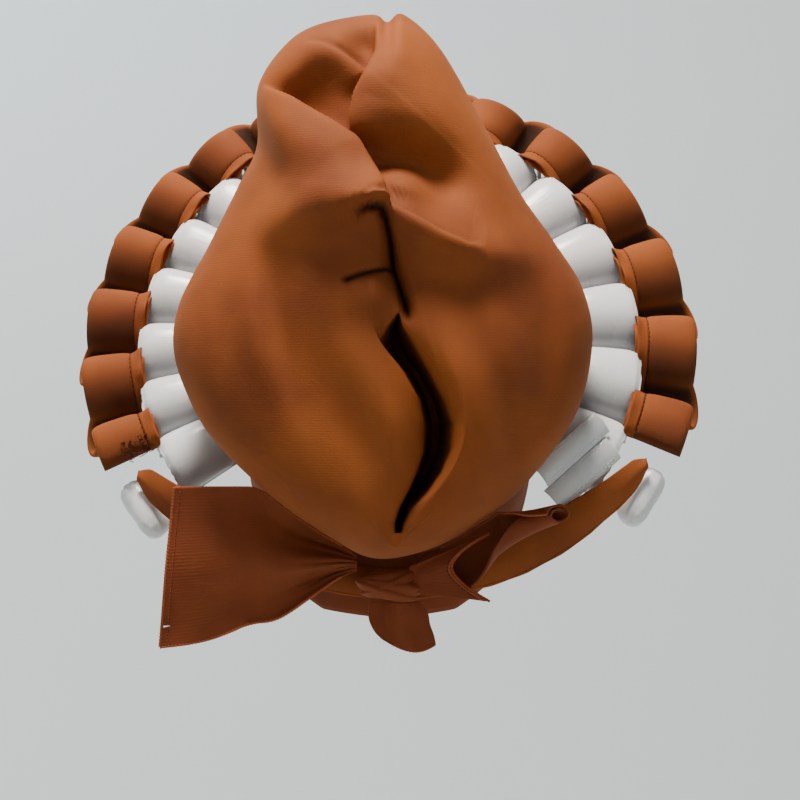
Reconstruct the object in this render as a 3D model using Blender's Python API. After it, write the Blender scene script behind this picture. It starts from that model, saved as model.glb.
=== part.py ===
"""Tied gele head tie: a gathered pouch on a fitted cap, a woven halo round it, tied at the nape.

Metres, +Z up. The wearer faces +Y. The origin is inside the cap, where it bears on the crown.
"""

import math

import bmesh
import bpy
import numpy as np
from mathutils import Vector

# Head hollow and fitted cap
HEAD_HALF_WIDTH = 0.078
HEAD_HALF_LENGTH = 0.097
CROWN_DEPTH = 0.105         # crown down to the widest level of the head
NECK_HALF_WIDTH = 0.055
NECK_BACK = 0.066           # nape hem behind the crown
NECK_NARROWING = 1.5        # powers of the narrowing to the neck, across and along the head
NECK_SHORTENING = 1.3
CAP_DROP = 0.210            # crown down to the nape hem
CAP_WALL = 0.002

# Ring that the halo is built on
HALO_LEAN_DEG = 30.0        # top of the ring leans forward
HALO_CENTRE_DROP = 0.072    # below the crown
HALO_CENTRE_FORWARD = 0.005
HALO_EXTRA_RISE = 0.013     # half-height over half-width
COLLAR_RADIUS = 0.100
COLLAR_FRONT = 0.014        # ahead of the ring's plane
COLLAR_BACK = 0.016         # behind the ring's plane

# Woven bands
WHITE_WIDTH = 0.0345
RUST_WIDTH = 0.0290
RUST_FAR_LIP = 0.008        # outer edge stands further out where the band runs on the far side
RUST_THICKNESS = 0.0088
WHITE_THICKNESS = 0.0078
RUST_NEAR = 0.0110          # crests behind the ring's plane, where the photo shows them
RUST_FAR = 0.0075
WHITE_NEAR = 0.0105
WHITE_FAR = 0.0070
RUST_NEAR_SHARE = 0.58      # share of a roll that runs behind the plane
WHITE_NEAR_SHARE = 0.52
ROLL_COUNT = 15
FIRST_ROLL_DEG = -115.0
LAST_ROLL_DEG = 111.0
ROLL_SPREAD = 0.13          # share by which the rolls widen from left to right
RUST_TAIL = 0.26            # band past the end rolls' middles, in rolls
WHITE_TAIL = 0.92
WEFT_HALF_WIDTH = 0.0017
WEFT_OUTER_HALF_WIDTH = 0.0022
WEFT_HALF_THICKNESS = 0.0012
WEFT_TUCK = 0.0006          # weft to the band that it passes
WEFT_TURN = 0.006           # length in which it passes from one band to the other
WEFT_SHORT = 0.002          # short of the rim
END_ROLL_RADIUS = 0.0085
END_ROLL_LENGTH = 0.026
END_ROLL_RING = 0.154
END_ROLL_LIFT = 0.0016      # its near side behind the ring's plane

# Pouch
BAG_HALF_WIDTH = 0.101
BAG_RISE = 0.092            # above the crown
BAG_DROP = 0.177            # below the crown
BAG_BACK = 0.142            # behind the crown, at the fullest place
BAG_EDGE_TOP = 0.050        # outline behind the crown, at the top
BAG_EDGE_BOTTOM = 0.100
BAG_CENTRE_DROP = 0.075     # outline's middle level
BAG_WALL = 0.002
OPENING_TOP = 0.47          # central gather, shares of the pouch's height
OPENING_BOTTOM = 0.10
OPENING_SHIFT = 0.06        # share of the half-width
OPENING_DEPTH = 0.030
BACK_ROUND = 0.9            # power of the pouch's swell
KNEE_SHARE = 0.45           # wall turns this far from the collar to the outline
LOOP_FORWARD = 0.47         # share of the head's half-length, of the loop on the brow
NAPE_FROM_DEG = 104.0       # the edge leaves the collar for the nape between these
NAPE_TO_DEG = 140.0
LOW_FRONT = 0.004           # its edge's front and back on the nape stand out from the cap
LOW_BACK = 0.008
KNEE_EARLY = 0.35           # shares of the way from the collar to the outline
KNEE_LATE = 0.70
GATHER_LEFT = 0.55          # ring spaces left open at the gather
FOLD_FADE = 0.25            # share of the way in at which the folds have their full lift
SLIT_FROM = 0.02            # the slit's walls sink between these shares of the way out
SLIT_TO = 0.36

# Tie at the nape
CLOTH = 0.0018
STRAP_WIDTH = 0.016
STRAP_THICKNESS = 0.0028
STRAP_RING = 0.150          # where the straps leave the rim
STRAP_END = 0.002           # to each side of the knot's middle, and below it
STRAP_SAG_BACK = 0.008
STRAP_SAG_LEFT = 0.009
STRAP_SAG_RIGHT = 0.014
KNOT_HALF_WIDTH = 0.0125
KNOT_HALF_HEIGHT = 0.0110
KNOT_HALF_DEPTH = 0.0105
KNOT_GROOVE = 0.14          # share of the knot's size
KNOT_TURNS = 3              # turns of cloth down the knot
KNOT_SHIFT = 0.002          # left of the middle
TAIL_LEFT_LENGTH = 0.088
TAIL_LEFT_WIDTH = 0.077
TAIL_LEFT_RISE = 0.033      # upper corner above the pouch's lowest point
TAIL_LEFT_SLANT = 0.007
TAIL_LEFT_STEEP = 2.2       # its upper edge reaches its rise this many times sooner
PLEATS_LEFT = 3
TAIL_RIGHT_LENGTH = 0.074
TAIL_RIGHT_WIDTH = 0.036
TAIL_RIGHT_RISE = 0.0345
TAIL_RIGHT_BEND = 0.65      # power of its rise, which is steep at first
TAIL_RIGHT_AHEAD = 0.004    # root ahead of the knot's middle
TAIL_RIGHT_BACK = 0.020     # the rolled end turns back from the nape
FLARE_MIDDLE = 0.020        # knot to the middle of its curved edge
FLARE_CORNER = 0.038        # knot to the edge's corners
FLARE_ROOT_WIDTH = 0.012
FLARE_WIDTH = 0.032
FLARE_ROOT_RISE = 0.002
FLARE_RISE = 0.0085
FLARE_BACK = 0.0045         # root behind the knot's middle
FLARE_SEAT = 0.0013         # root in under the knot's round side
FLARE_OUT = 0.0095
FLARE_TROUGH = 0.003
SHORT_END_LENGTH = 0.024
SHORT_END_WIDTH = 0.021
SHORT_END_ASIDE = 0.018
SHORT_END_BACK = 0.002
SHORT_END_SKEW = 0.004
SHORT_END_PLEAT = 0.002
PLEATS_SHORT = 2
FLAP_WIDTH = 0.012
FLAP_LENGTH = 0.046
FLAP_ROLL = 0.75            # rolls back from the first roll past the last
FLAP_RING = 0.121
FLAP_LIFT = 0.0016          # over the white band
FLAP_THICKNESS = 0.003
FLAP_WAY = (-0.72, -0.36, -0.60)     # directions of its length and its width
FLAP_ACROSS = (0.62, -0.12, -0.77)

# Clearances
SEAT_GAP = 0.0004
LOOP_GAP = 0.0006
LOOP_RISE = 0.012           # pouch's edge on the nape above its lowest point
KNOT_GAP = 0.001
STRAP_SEAT = 0.0005         # strap tucked in beside the rim's end
TIE_GAP = 0.0006
TAIL_CLEARANCE = 0.0015
PLEAT_DEPTH = 0.005

# Mesh steps
BAG_COLUMNS = 50
BAG_RINGS = 10
CAP_COLUMNS = 28
CAP_RINGS = 9
HALF_WAVE_STEPS = 4
KNOT_COLUMNS = 14
KNOT_ROWS = 8
TAIL_COLUMNS = 9
ROLLED_COLUMNS = 13
FLARE_STATIONS = 7
STRAP_STATIONS = 7

# Outline of the pouch from behind, clockwise from the top: half-width share, height share
OUTLINE_COLUMNS = ("across", "up")
OUTLINE = (
    (-0.01, 0.985), (0.07, 1.00), (0.26, 0.93), (0.49, 0.77), (0.64, 0.66), (0.80, 0.57),
    (0.94, 0.48), (0.98, 0.38), (0.89, 0.25), (0.65, 0.13), (0.45, 0.07), (0.22, 0.02),
    (-0.06, 0.00), (-0.29, 0.04), (-0.56, 0.11), (-0.84, 0.21), (-0.98, 0.30), (-1.04, 0.38),
    (-1.01, 0.46), (-0.88, 0.56), (-0.73, 0.68), (-0.65, 0.75), (-0.65, 0.86), (-0.52, 0.94),
    (-0.36, 0.98), (-0.09, 1.00),
)

# Folds: start, middle and end across and up, reach as a share of the half-width, and lift as a
# share of the half-width, out of the pouch where positive. Step is the share of the reach that
# the cloth keeps on the right of the line, so a low step makes an overlapped edge.
FOLD_COLUMNS = ("x0", "z0", "x1", "z1", "x2", "z2", "reach", "lift", "step")
FOLDS = (
    (-0.03, 1.02, -0.06, 0.88, -0.15, 0.75, 0.10, -0.16, 1.0),
    (-0.24, 0.88, -0.27, 0.83, -0.31, 0.77, 0.16, -0.14, 1.0),
    (-0.45, 0.95, -0.30, 0.97, -0.12, 0.93, 0.12, 0.07, 1.0),
    (0.08, 0.93, 0.00, 0.86, -0.10, 0.74, 0.12, 0.08, 1.0),
    (-0.02, 0.63, -0.27, 0.75, -0.60, 0.80, 0.20, 0.10, 0.25),
    (0.17, 0.77, 0.10, 0.69, 0.04, 0.64, 0.18, -0.13, 1.0),
    (-0.49, 0.60, -0.10, 0.66, 0.12, 0.60, 0.17, 0.09, 1.0),
    (0.12, 0.60, 0.34, 0.52, 0.58, 0.55, 0.17, 0.10, 1.0),
    (-0.13, 0.59, 0.04, 0.62, 0.07, 0.43, 0.08, -0.12, 1.0),
    (-0.18, 0.49, -0.09, 0.50, 0.01, 0.50, 0.06, -0.06, 1.0),
    (-0.08, 0.43, -0.16, 0.34, -0.02, 0.24, 0.15, 0.11, 1.0),
    (0.20, 0.42, 0.40, 0.28, 0.30, 0.13, 0.15, 0.11, 1.0),
    (-0.40, 0.40, -0.17, 0.23, 0.00, 0.12, 0.12, 0.05, 1.0),
    (0.49, 0.34, 0.57, 0.24, 0.59, 0.17, 0.12, -0.05, 1.0),
    (-0.54, 0.55, -0.56, 0.43, -0.48, 0.30, 0.13, 0.05, 1.0),
)

# Hem of the cap: degrees round from the nape, share of the cap's drop
HEM_COLUMNS = ("degrees", "drop")
HEM = (
    (0, 1.0), (35, 0.985), (60, 0.92), (90, 0.68), (120, 0.42), (145, 0.28), (165, 0.225),
    (180, 0.215),
)

# Left tail from the knot out: share of its length, share of its width, share of the pleats
TAIL_LEFT_COLUMNS = ("along", "width", "pleat")
TAIL_LEFT = (
    (0.00, 0.09, 0.15), (0.10, 0.22, 0.6), (0.22, 0.40, 1.0),
    (0.44, 0.74, 0.8), (0.70, 0.93, 0.4), (1.00, 1.00, 0.1),
)

# Right tail from the knot out: share of its length, share of its width, turns that it is rolled
TAIL_RIGHT_COLUMNS = ("along", "width", "turns")
TAIL_RIGHT = (
    (0.00, 0.24, 0.10), (0.20, 0.45, 0.20), (0.34, 0.78, 0.42), (0.50, 1.00, 0.58),
    (0.68, 0.98, 0.66), (0.84, 0.95, 0.74), (1.00, 0.90, 0.82),
)

# Short end from the knot down: share of its length, share of its width
SHORT_END_COLUMNS = ("along", "width")
SHORT_END = ((0.0, 0.7), (0.35, 0.85), (0.7, 1.0), (1.0, 1.0))

# Cross-section of a padded band: shares of the width and of the thickness
PAD_COLUMNS = ("across", "through")
PAD_SECTION = (
    (-0.5, 0.0), (-0.37, 0.40), (0.0, 0.5), (0.37, 0.40),
    (0.5, 0.0), (0.37, -0.40), (0.0, -0.5), (-0.37, -0.40),
)

END_ROLL_COLUMNS = ("along", "size")
END_ROLL = ((0.0, 0.6), (0.1, 0.9), (0.35, 1.0), (0.7, 0.95), (0.92, 0.8), (1.0, 0.45))

COLOURS = {
    "rust": ((0.340, 0.110, 0.030), 0.75),
    "white": ((0.780, 0.800, 0.820), 0.35),
}


def table(columns, rows):
    """A table's rows as dictionaries."""
    return [dict(zip(columns, row)) for row in rows]


def clear_scene():
    for item in list(bpy.data.objects):
        bpy.data.objects.remove(item, do_unlink=True)


def material(name, cloth):
    colour, roughness = COLOURS[cloth]
    made = bpy.data.materials.new(name)
    made.use_nodes = True
    shader = made.node_tree.nodes["Principled BSDF"]
    shader.inputs["Base Color"].default_value = (*colour, 1.0)
    shader.inputs["Roughness"].default_value = roughness
    shader.inputs["Metallic"].default_value = 0.0
    return made


def add_object(name, verts, faces, cloth):
    mesh = bpy.data.meshes.new(name)
    mesh.from_pydata([tuple(map(float, v)) for v in verts], [], faces)
    work = bmesh.new()
    work.from_mesh(mesh)
    bmesh.ops.recalc_face_normals(work, faces=work.faces)
    work.to_mesh(mesh)
    work.free()
    mesh.shade_smooth()
    mesh.materials.append(material(name, cloth))
    item = bpy.data.objects.new(name, mesh)
    bpy.context.scene.collection.objects.link(item)
    return item


def smooth_step(value, low, high):
    share = np.clip((value - low) / (high - low), 0.0, 1.0)
    return share * share * (3 - 2 * share)


def unit(vector):
    return vector / np.linalg.norm(vector)


def loft(rings, close_ends=True):
    """Verts and faces of a tube through rings of equal length, each ring closed."""
    count = len(rings[0])
    verts = [point for ring in rings for point in ring]
    faces = []
    for row in range(len(rings) - 1):
        for col in range(count):
            after = (col + 1) % count
            low = row * count
            faces.append((low + col, low + after, low + count + after, low + count + col))
    if close_ends:
        faces.append(tuple(range(count - 1, -1, -1)))
        last = (len(rings) - 1) * count
        faces.append(tuple(range(last, last + count)))
    return verts, faces


def sheet_solid(name, grid, thickness, cloth):
    """A closed cloth solid from a grid of points, half its thickness to each side."""
    grid = np.asarray(grid)
    along = np.gradient(grid, axis=0)
    across = np.gradient(grid, axis=1)
    normal = np.cross(along, across)
    normal /= np.linalg.norm(normal, axis=2, keepdims=True)
    rows, cols = grid.shape[:2]
    rings = []
    for row in range(rows):
        upper = grid[row] + normal[row] * thickness / 2
        lower = grid[row][::-1] - normal[row][::-1] * thickness / 2
        rings.append(list(upper) + list(lower))
    verts, faces = loft(rings, close_ends=False)
    for row in (0, rows - 1):
        for col in range(cols - 1):
            first = row * 2 * cols
            face = (first + col, first + col + 1,
                    first + 2 * cols - 2 - col, first + 2 * cols - 1 - col)
            faces.append(face)
    return add_object(name, verts, faces, cloth)


# Fitted cap

def cap_level(level, extra=0.0):
    """Half-width and half-length of the cap's inside at a level, with extra added all round."""
    widest = -CROWN_DEPTH
    depth = CROWN_DEPTH + extra
    if level >= widest:
        share = math.sqrt(max(0.0, 1 - ((level - widest) / depth) ** 2))
        return (HEAD_HALF_WIDTH + extra) * share, (HEAD_HALF_LENGTH + extra) * share
    down = (widest - level) / (CAP_DROP - CROWN_DEPTH)
    half_width = HEAD_HALF_WIDTH + (NECK_HALF_WIDTH - HEAD_HALF_WIDTH) * down ** NECK_NARROWING + extra
    half_length = HEAD_HALF_LENGTH + (NECK_BACK - HEAD_HALF_LENGTH) * down ** NECK_SHORTENING + extra
    return half_width, half_length


def inside_cap(point, extra):
    """Whether a point lies within the cap's inside grown by extra."""
    half_width, half_length = cap_level(point[2], extra)
    if half_width <= 0:
        return False
    return (point[0] / half_width) ** 2 + (point[1] / half_length) ** 2 < 1


def reach_cap(start, direction, extra):
    """Distance from a start inside the cap to its surface grown by extra."""
    low, high = 0.0, 0.3
    for _ in range(40):
        middle = (low + high) / 2
        if inside_cap(start + direction * middle, extra):
            low = middle
        else:
            high = middle
    return high


def inner_cap():
    hem_angle = [math.radians(row["degrees"]) for row in table(HEM_COLUMNS, HEM)]
    hem_drop = [row["drop"] for row in table(HEM_COLUMNS, HEM)]
    verts = [(0.0, 0.0, 0.0)]
    for ring in range(1, CAP_RINGS + 1):
        for col in range(CAP_COLUMNS):
            turn = 2 * math.pi * col / CAP_COLUMNS
            from_nape = abs((turn + math.pi) % (2 * math.pi) - math.pi)
            drop = CAP_DROP * float(np.interp(from_nape, hem_angle, hem_drop))
            if drop <= CROWN_DEPTH:
                end = math.acos(1 - drop / CROWN_DEPTH) / (math.pi / 2)
            else:
                end = 1 + (drop - CROWN_DEPTH) / (CAP_DROP - CROWN_DEPTH)
            step = end * ring / CAP_RINGS
            if step <= 1:
                level = -CROWN_DEPTH * (1 - math.cos(step * math.pi / 2))
            else:
                level = -CROWN_DEPTH - (step - 1) * (CAP_DROP - CROWN_DEPTH)
            half_width, half_length = cap_level(level)
            verts.append((half_width * math.sin(turn), -half_length * math.cos(turn), level))
    faces = []
    for col in range(CAP_COLUMNS):
        after = (col + 1) % CAP_COLUMNS
        faces.append((0, 1 + col, 1 + after))
        for ring in range(CAP_RINGS - 1):
            low = 1 + ring * CAP_COLUMNS
            high = low + CAP_COLUMNS
            faces.append((low + col, high + col, high + after, low + after))
    item = add_object("inner_cap", verts, faces, "rust")
    point_outwards(item)
    wall = item.modifiers.new("wall", "SOLIDIFY")
    wall.thickness = CAP_WALL
    wall.offset = 1.0
    return item


def point_outwards(item):
    """Turn an open shell's faces so that its normals leave its own middle."""
    mesh = item.data
    middle = sum((Vector(v.co) for v in mesh.vertices), Vector()) / len(mesh.vertices)
    outward = sum((face.center - middle).dot(face.normal) * face.area for face in mesh.polygons)
    if outward < 0:
        mesh.flip_normals()


# Halo ring

LEAN = math.radians(HALO_LEAN_DEG)
RING_CENTRE = np.array([0.0, HALO_CENTRE_FORWARD, -HALO_CENTRE_DROP])
RING_ACROSS = np.array([1.0, 0.0, 0.0])
RING_UP = np.array([0.0, math.sin(LEAN), math.cos(LEAN)])
RING_BACK = np.array([0.0, -math.cos(LEAN), math.sin(LEAN)])
WHITE_INNER = COLLAR_RADIUS + SEAT_GAP
WHITE_OUTER = WHITE_INNER + WHITE_WIDTH
RUST_INNER = WHITE_OUTER + SEAT_GAP
RUST_OUTER = RUST_INNER + RUST_WIDTH


def ring_point(angle, radius, back=0.0):
    """A point at an angle from the ring's top, a radius from its middle and a height behind it."""
    return (RING_CENTRE + RING_ACROSS * radius * math.sin(angle)
            + RING_UP * (radius + HALO_EXTRA_RISE) * math.cos(angle) + RING_BACK * back)


def roll_angle(roll):
    """Angle of a place counted in rolls from the first one, which may lie between rolls."""
    share = roll / (ROLL_COUNT - 1)
    spread = share * (1 - ROLL_SPREAD) + ROLL_SPREAD * share * share
    return math.radians(FIRST_ROLL_DEG + (LAST_ROLL_DEG - FIRST_ROLL_DEG) * spread)


def wave_place(roll, band):
    """Angle and height of a waving band. Near crests stand on whole rolls plus the phase."""
    aside = roll - band["phase"]
    aside = abs(aside - round(aside))
    near_half = band["near_share"] / 2
    if aside < near_half:
        return roll_angle(roll), band["near"] * math.sqrt(1 - (aside / near_half) ** 2)
    share = min(1.0, (0.5 - aside) / (0.5 - near_half))
    return roll_angle(roll), -band["far"] * math.sqrt(1 - share ** 2)


def wave_stations(first, last, band):
    """Places along a band, in rolls, evenly turned round each half-wave."""
    near_half = band["near_share"] / 2
    stations = []
    for crest in range(math.floor(first) - 1, math.ceil(last) + 2):
        for middle, half in ((crest, near_half), (crest + 0.5, 0.5 - near_half)):
            for step in range(HALF_WAVE_STEPS):
                roll = band["phase"] + middle - half * math.cos(math.pi * step / HALF_WAVE_STEPS)
                if first <= roll <= last:
                    stations.append(roll)
    return stations


RUST = {"phase": 0.0, "near": RUST_NEAR, "far": RUST_FAR, "near_share": RUST_NEAR_SHARE,
        "inner": RUST_INNER, "width": RUST_WIDTH, "thickness": RUST_THICKNESS,
        "far_lip": RUST_FAR_LIP, "cloth": "rust"}
WHITE = {"phase": 0.5, "near": WHITE_NEAR, "far": WHITE_FAR, "near_share": WHITE_NEAR_SHARE,
         "inner": WHITE_INNER, "width": WHITE_WIDTH, "thickness": WHITE_THICKNESS,
         "far_lip": 0.0, "cloth": "white"}


def waving_band(name, band, first, last):
    stations = wave_stations(first, last, band)
    width = band["width"]
    middle = band["inner"] + width / 2
    places = [wave_place(roll, band) for roll in stations]
    path = np.array([ring_point(angle, middle, height) for angle, height in places])
    run = np.gradient(path, axis=0)
    rings = []
    for index, (angle, height) in enumerate(places):
        outward = unit(ring_point(angle, middle + width) - ring_point(angle, middle))
        along = unit(run[index] - outward * run[index].dot(outward))
        through = np.cross(outward, along)
        lip = band["far_lip"] * max(0.0, -height / band["far"])
        ring = []
        for row in table(PAD_COLUMNS, PAD_SECTION):
            reach = row["across"] * width + (lip if row["across"] > 0 else 0.0)
            ring.append(path[index] + outward * reach
                        + through * row["through"] * band["thickness"])
        rings.append(ring)
    verts, faces = loft(rings)
    return add_object(name, verts, faces, band["cloth"])


def weft_strip(number, roll):
    """One strip between the collar and the rim: over the band that runs low, under the other."""
    angle = roll_angle(roll)
    rust_tuck = RUST_THICKNESS / 2 + WEFT_TUCK + WEFT_HALF_THICKNESS
    white_tuck = WHITE_THICKNESS / 2 + WEFT_TUCK + WEFT_HALF_THICKNESS
    if round(roll * 2) % 2:
        white_height, rust_height = WHITE_NEAR - white_tuck, rust_tuck - RUST_FAR
    else:
        white_height, rust_height = white_tuck - WHITE_FAR, RUST_NEAR - rust_tuck
    stations = (
        (COLLAR_RADIUS + SEAT_GAP, white_height, WEFT_HALF_WIDTH),
        (WHITE_OUTER - WEFT_TURN, white_height, WEFT_HALF_WIDTH),
        (WHITE_OUTER, (white_height + rust_height) / 2, WEFT_HALF_WIDTH),
        (RUST_INNER + WEFT_TURN, rust_height, WEFT_OUTER_HALF_WIDTH),
        (RUST_OUTER - WEFT_SHORT, rust_height, WEFT_OUTER_HALF_WIDTH),
    )
    along_ring = unit(ring_point(angle + 0.01, COLLAR_RADIUS) - ring_point(angle, COLLAR_RADIUS))
    rings = []
    for radius, height, half_width in stations:
        centre = ring_point(angle, radius, height)
        ring = []
        for corner in range(6):
            turn = math.pi / 2 + math.pi * corner / 3
            ring.append(centre + along_ring * half_width * math.cos(turn)
                        + RING_BACK * WEFT_HALF_THICKNESS * math.sin(turn))
        rings.append(ring)
    verts, faces = loft(rings)
    add_object(f"weft_{number:02d}", verts, faces, "white")


def halo():
    last = ROLL_COUNT - 1
    waving_band("rust_band", RUST, -RUST_TAIL, last + RUST_TAIL)
    waving_band("white_band", WHITE, -WHITE_TAIL, last + WHITE_TAIL)
    for number in range(2 * ROLL_COUNT - 1):
        weft_strip(number + 1, number / 2)


def end_roll(name, angle, way):
    """A short white roll past the end of the rim, running on round the ring."""
    turn = END_ROLL_LENGTH / END_ROLL_RING
    rings = []
    for row in table(END_ROLL_COLUMNS, END_ROLL):
        place = angle + way * turn * row["along"]
        centre = ring_point(place, END_ROLL_RING, END_ROLL_LIFT - END_ROLL_RADIUS)
        outward = unit(ring_point(place, END_ROLL_RING) - ring_point(place, 0.0))
        radius = END_ROLL_RADIUS * row["size"]
        ring = []
        for corner in range(8):
            spin = 2 * math.pi * corner / 8
            ring.append(centre + outward * radius * math.cos(spin)
                        + RING_BACK * radius * math.sin(spin))
        rings.append(ring)
    verts, faces = loft(rings)
    return add_object(name, verts, faces, "white")


# Pouch

BAG_HEIGHT = BAG_RISE + BAG_DROP


def bag_place(across, up):
    """Across and up shares of the pouch as metres."""
    return np.array([across * BAG_HALF_WIDTH, up * BAG_HEIGHT - BAG_DROP])


def outline_points(count):
    """Even steps round the pouch's outline from its top, and the angle of each."""
    corners = np.array([bag_place(row["across"], row["up"])
                        for row in table(OUTLINE_COLUMNS, OUTLINE)])
    rows = len(corners)
    dense = []
    for index in range(rows):
        before, start, end, after = (corners[(index + k - 1) % rows] for k in range(4))
        for step in range(8):
            t = step / 8
            dense.append(0.5 * (2 * start + (end - before) * t
                                + (2 * before - 5 * start + 4 * end - after) * t * t
                                + (3 * start - before - 3 * end + after) * t ** 3))
    dense = np.array(dense + dense[:1])
    length = np.concatenate([[0], np.cumsum(np.linalg.norm(np.diff(dense, axis=0), axis=1))])
    wanted = np.linspace(0, length[-1], count, endpoint=False)
    points = np.stack([np.interp(wanted, length, dense[:, axis]) for axis in (0, 1)], axis=1)
    angles = np.arctan2(points[:, 0], points[:, 1] + BAG_CENTRE_DROP)
    return points, angles


def fold_lift(places):
    """How far the folds bring the cloth out, at places across and up the pouch's back."""
    total = np.zeros(len(places))
    t = np.linspace(0, 1, 25)[:, None]
    for fold in table(FOLD_COLUMNS, FOLDS):
        ends = [bag_place(fold["x" + k], fold["z" + k]) for k in "012"]
        middle = 2 * ends[1] - (ends[0] + ends[2]) / 2
        line = (1 - t) ** 2 * ends[0] + 2 * t * (1 - t) * middle + t * t * ends[2]
        away = places[:, None, :] - line[None, :, :]
        distance = np.linalg.norm(away, axis=2)
        nearest = distance.argmin(axis=1)
        run = np.gradient(line, axis=0)[nearest]
        aside = away[np.arange(len(places)), nearest]
        right = run[:, 0] * aside[:, 1] - run[:, 1] * aside[:, 0] < 0
        width = fold["reach"] * BAG_HALF_WIDTH * np.where(right, fold["step"], 1.0)
        bump = np.exp(-(distance.min(axis=1) / width) ** 2)
        total += fold["lift"] * BAG_HALF_WIDTH * bump
    return total


def loop_points(angles):
    """Where the pouch's edge meets the cap, in the plane from the brow to the nape."""
    top = np.array([0.0, LOOP_FORWARD * HEAD_HALF_LENGTH, 0.0])
    top[2] = -CROWN_DEPTH * (1 - math.sqrt(1 - LOOP_FORWARD ** 2))
    nape_level = -(BAG_DROP - LOOP_RISE)
    nape = np.array([0.0, -cap_level(nape_level)[1], nape_level])
    centre = (top + nape) / 2
    upward = unit(top - nape)
    back = np.cross(upward, RING_ACROSS)
    back = back if back[1] < 0 else -back
    points = []
    for angle in angles:
        direction = RING_ACROSS * math.sin(angle) + upward * math.cos(angle)
        front_reach = reach_cap(centre, direction, CAP_WALL)
        back_reach = reach_cap(centre + back * BAG_WALL, direction, CAP_WALL)
        points.append(centre + direction * (max(front_reach, back_reach) + LOOP_GAP))
    return np.array(points), np.array([unit(p - centre) for p in points]), back


def bag_rings():
    """Rings of the pouch's outside, from the cap, over the collar and outline, to the gather."""
    outline, angles = outline_points(BAG_COLUMNS)
    loop, outward, back = loop_points(angles)
    away = smooth_step(np.abs(angles), math.radians(NAPE_FROM_DEG),
                       math.radians(NAPE_TO_DEG))[:, None]
    collar_front = np.array([ring_point(a, COLLAR_RADIUS, -COLLAR_FRONT) for a in angles])
    collar_back = np.array([ring_point(a, COLLAR_RADIUS, COLLAR_BACK) for a in angles])
    low_front = loop + outward * LOW_FRONT
    low_back = loop + outward * LOW_BACK
    front = collar_front * (1 - away) + low_front * away
    rear = collar_back * (1 - away) + low_back * away
    up = (outline[:, 1] + BAG_DROP) / BAG_HEIGHT
    edge_depth = -(BAG_EDGE_BOTTOM + (BAG_EDGE_TOP - BAG_EDGE_BOTTOM) * up)
    edge = np.stack([outline[:, 0], edge_depth, outline[:, 1]], axis=1)
    knee = edge.copy()
    knee[:, 1] = rear[:, 1] * (1 - KNEE_SHARE) + edge_depth * KNEE_SHARE
    rings = [loop, front, (front + rear) / 2, rear]
    for t in (KNEE_EARLY, KNEE_LATE):
        rings.append((1 - t) ** 2 * rear + 2 * t * (1 - t) * knee + t * t * edge)
    rings.append(edge)
    turns = 2 * np.pi * np.arange(BAG_COLUMNS) / BAG_COLUMNS
    middle = (OPENING_TOP + OPENING_BOTTOM) / 2
    half = (OPENING_TOP - OPENING_BOTTOM) / 2
    gather_up = middle + half * np.cos(turns)
    gather = np.array([bag_place(OPENING_SHIFT, u) for u in gather_up])
    for index in range(1, BAG_RINGS + 1):
        bend = math.pi / 2 * index / (BAG_RINGS + GATHER_LEFT)
        out = math.cos(bend)
        flat = gather + (outline - gather) * out
        depth = edge_depth + (-BAG_BACK - edge_depth) * math.sin(bend) ** BACK_ROUND
        fade = smooth_step(1 - out, 0.0, FOLD_FADE)
        depth = depth - fold_lift(flat) * fade
        pinch = np.sin(turns) ** 2
        depth = depth + OPENING_DEPTH * (1 - smooth_step(out, SLIT_FROM, SLIT_TO)) * pinch
        rings.append(np.stack([flat[:, 0], depth, flat[:, 1]], axis=1))
    return rings


def crown_bag():
    rings = bag_rings()
    verts, faces = loft(rings, close_ends=False)
    last = (len(rings) - 1) * BAG_COLUMNS
    for col in range(BAG_COLUMNS // 2):
        left, right = BAG_COLUMNS - col, BAG_COLUMNS - col - 1
        face = [last + col, last + col + 1, last + right % BAG_COLUMNS, last + left % BAG_COLUMNS]
        face = list(dict.fromkeys(face))
        if len(face) > 2:
            faces.append(tuple(face))
    item = add_object("crown_bag", verts, faces, "rust")
    point_outwards(item)
    wall = item.modifiers.new("wall", "SOLIDIFY")
    wall.thickness = BAG_WALL
    wall.offset = -1.0
    return item


# Tie at the nape

def knot_centre():
    level = -(BAG_DROP + KNOT_HALF_HEIGHT + TIE_GAP + KNOT_GAP)
    half_length = cap_level(level + KNOT_HALF_HEIGHT)[1] + CAP_WALL
    return np.array([-KNOT_SHIFT, -(half_length + TIE_GAP + STRAP_THICKNESS + TIE_GAP
                               + KNOT_HALF_DEPTH), level])


def tie_knot():
    centre = knot_centre()
    columns, rows = KNOT_COLUMNS, KNOT_ROWS
    verts = [centre + np.array([0, 0, KNOT_HALF_HEIGHT])]
    for row in range(1, rows):
        polar = math.pi * row / rows
        for col in range(columns):
            turn = 2 * math.pi * col / columns
            groove = 1 - KNOT_GROOVE * math.cos(KNOT_TURNS * polar) ** 2
            verts.append(centre + np.array([
                KNOT_HALF_WIDTH * math.sin(polar) * math.sin(turn) * groove,
                -KNOT_HALF_DEPTH * math.sin(polar) * math.cos(turn) * groove,
                KNOT_HALF_HEIGHT * math.cos(polar)]))
    verts.append(centre - np.array([0, 0, KNOT_HALF_HEIGHT]))
    faces = []
    for col in range(columns):
        after = (col + 1) % columns
        faces.append((0, 1 + after, 1 + col))
        for row in range(rows - 2):
            low = 1 + row * columns
            faces.append((low + col, low + after, low + columns + after, low + columns + col))
        low = 1 + (rows - 2) * columns
        faces.append((low + col, low + after, len(verts) - 1))
    return add_object("tie_knot", verts, faces, "rust")


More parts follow.
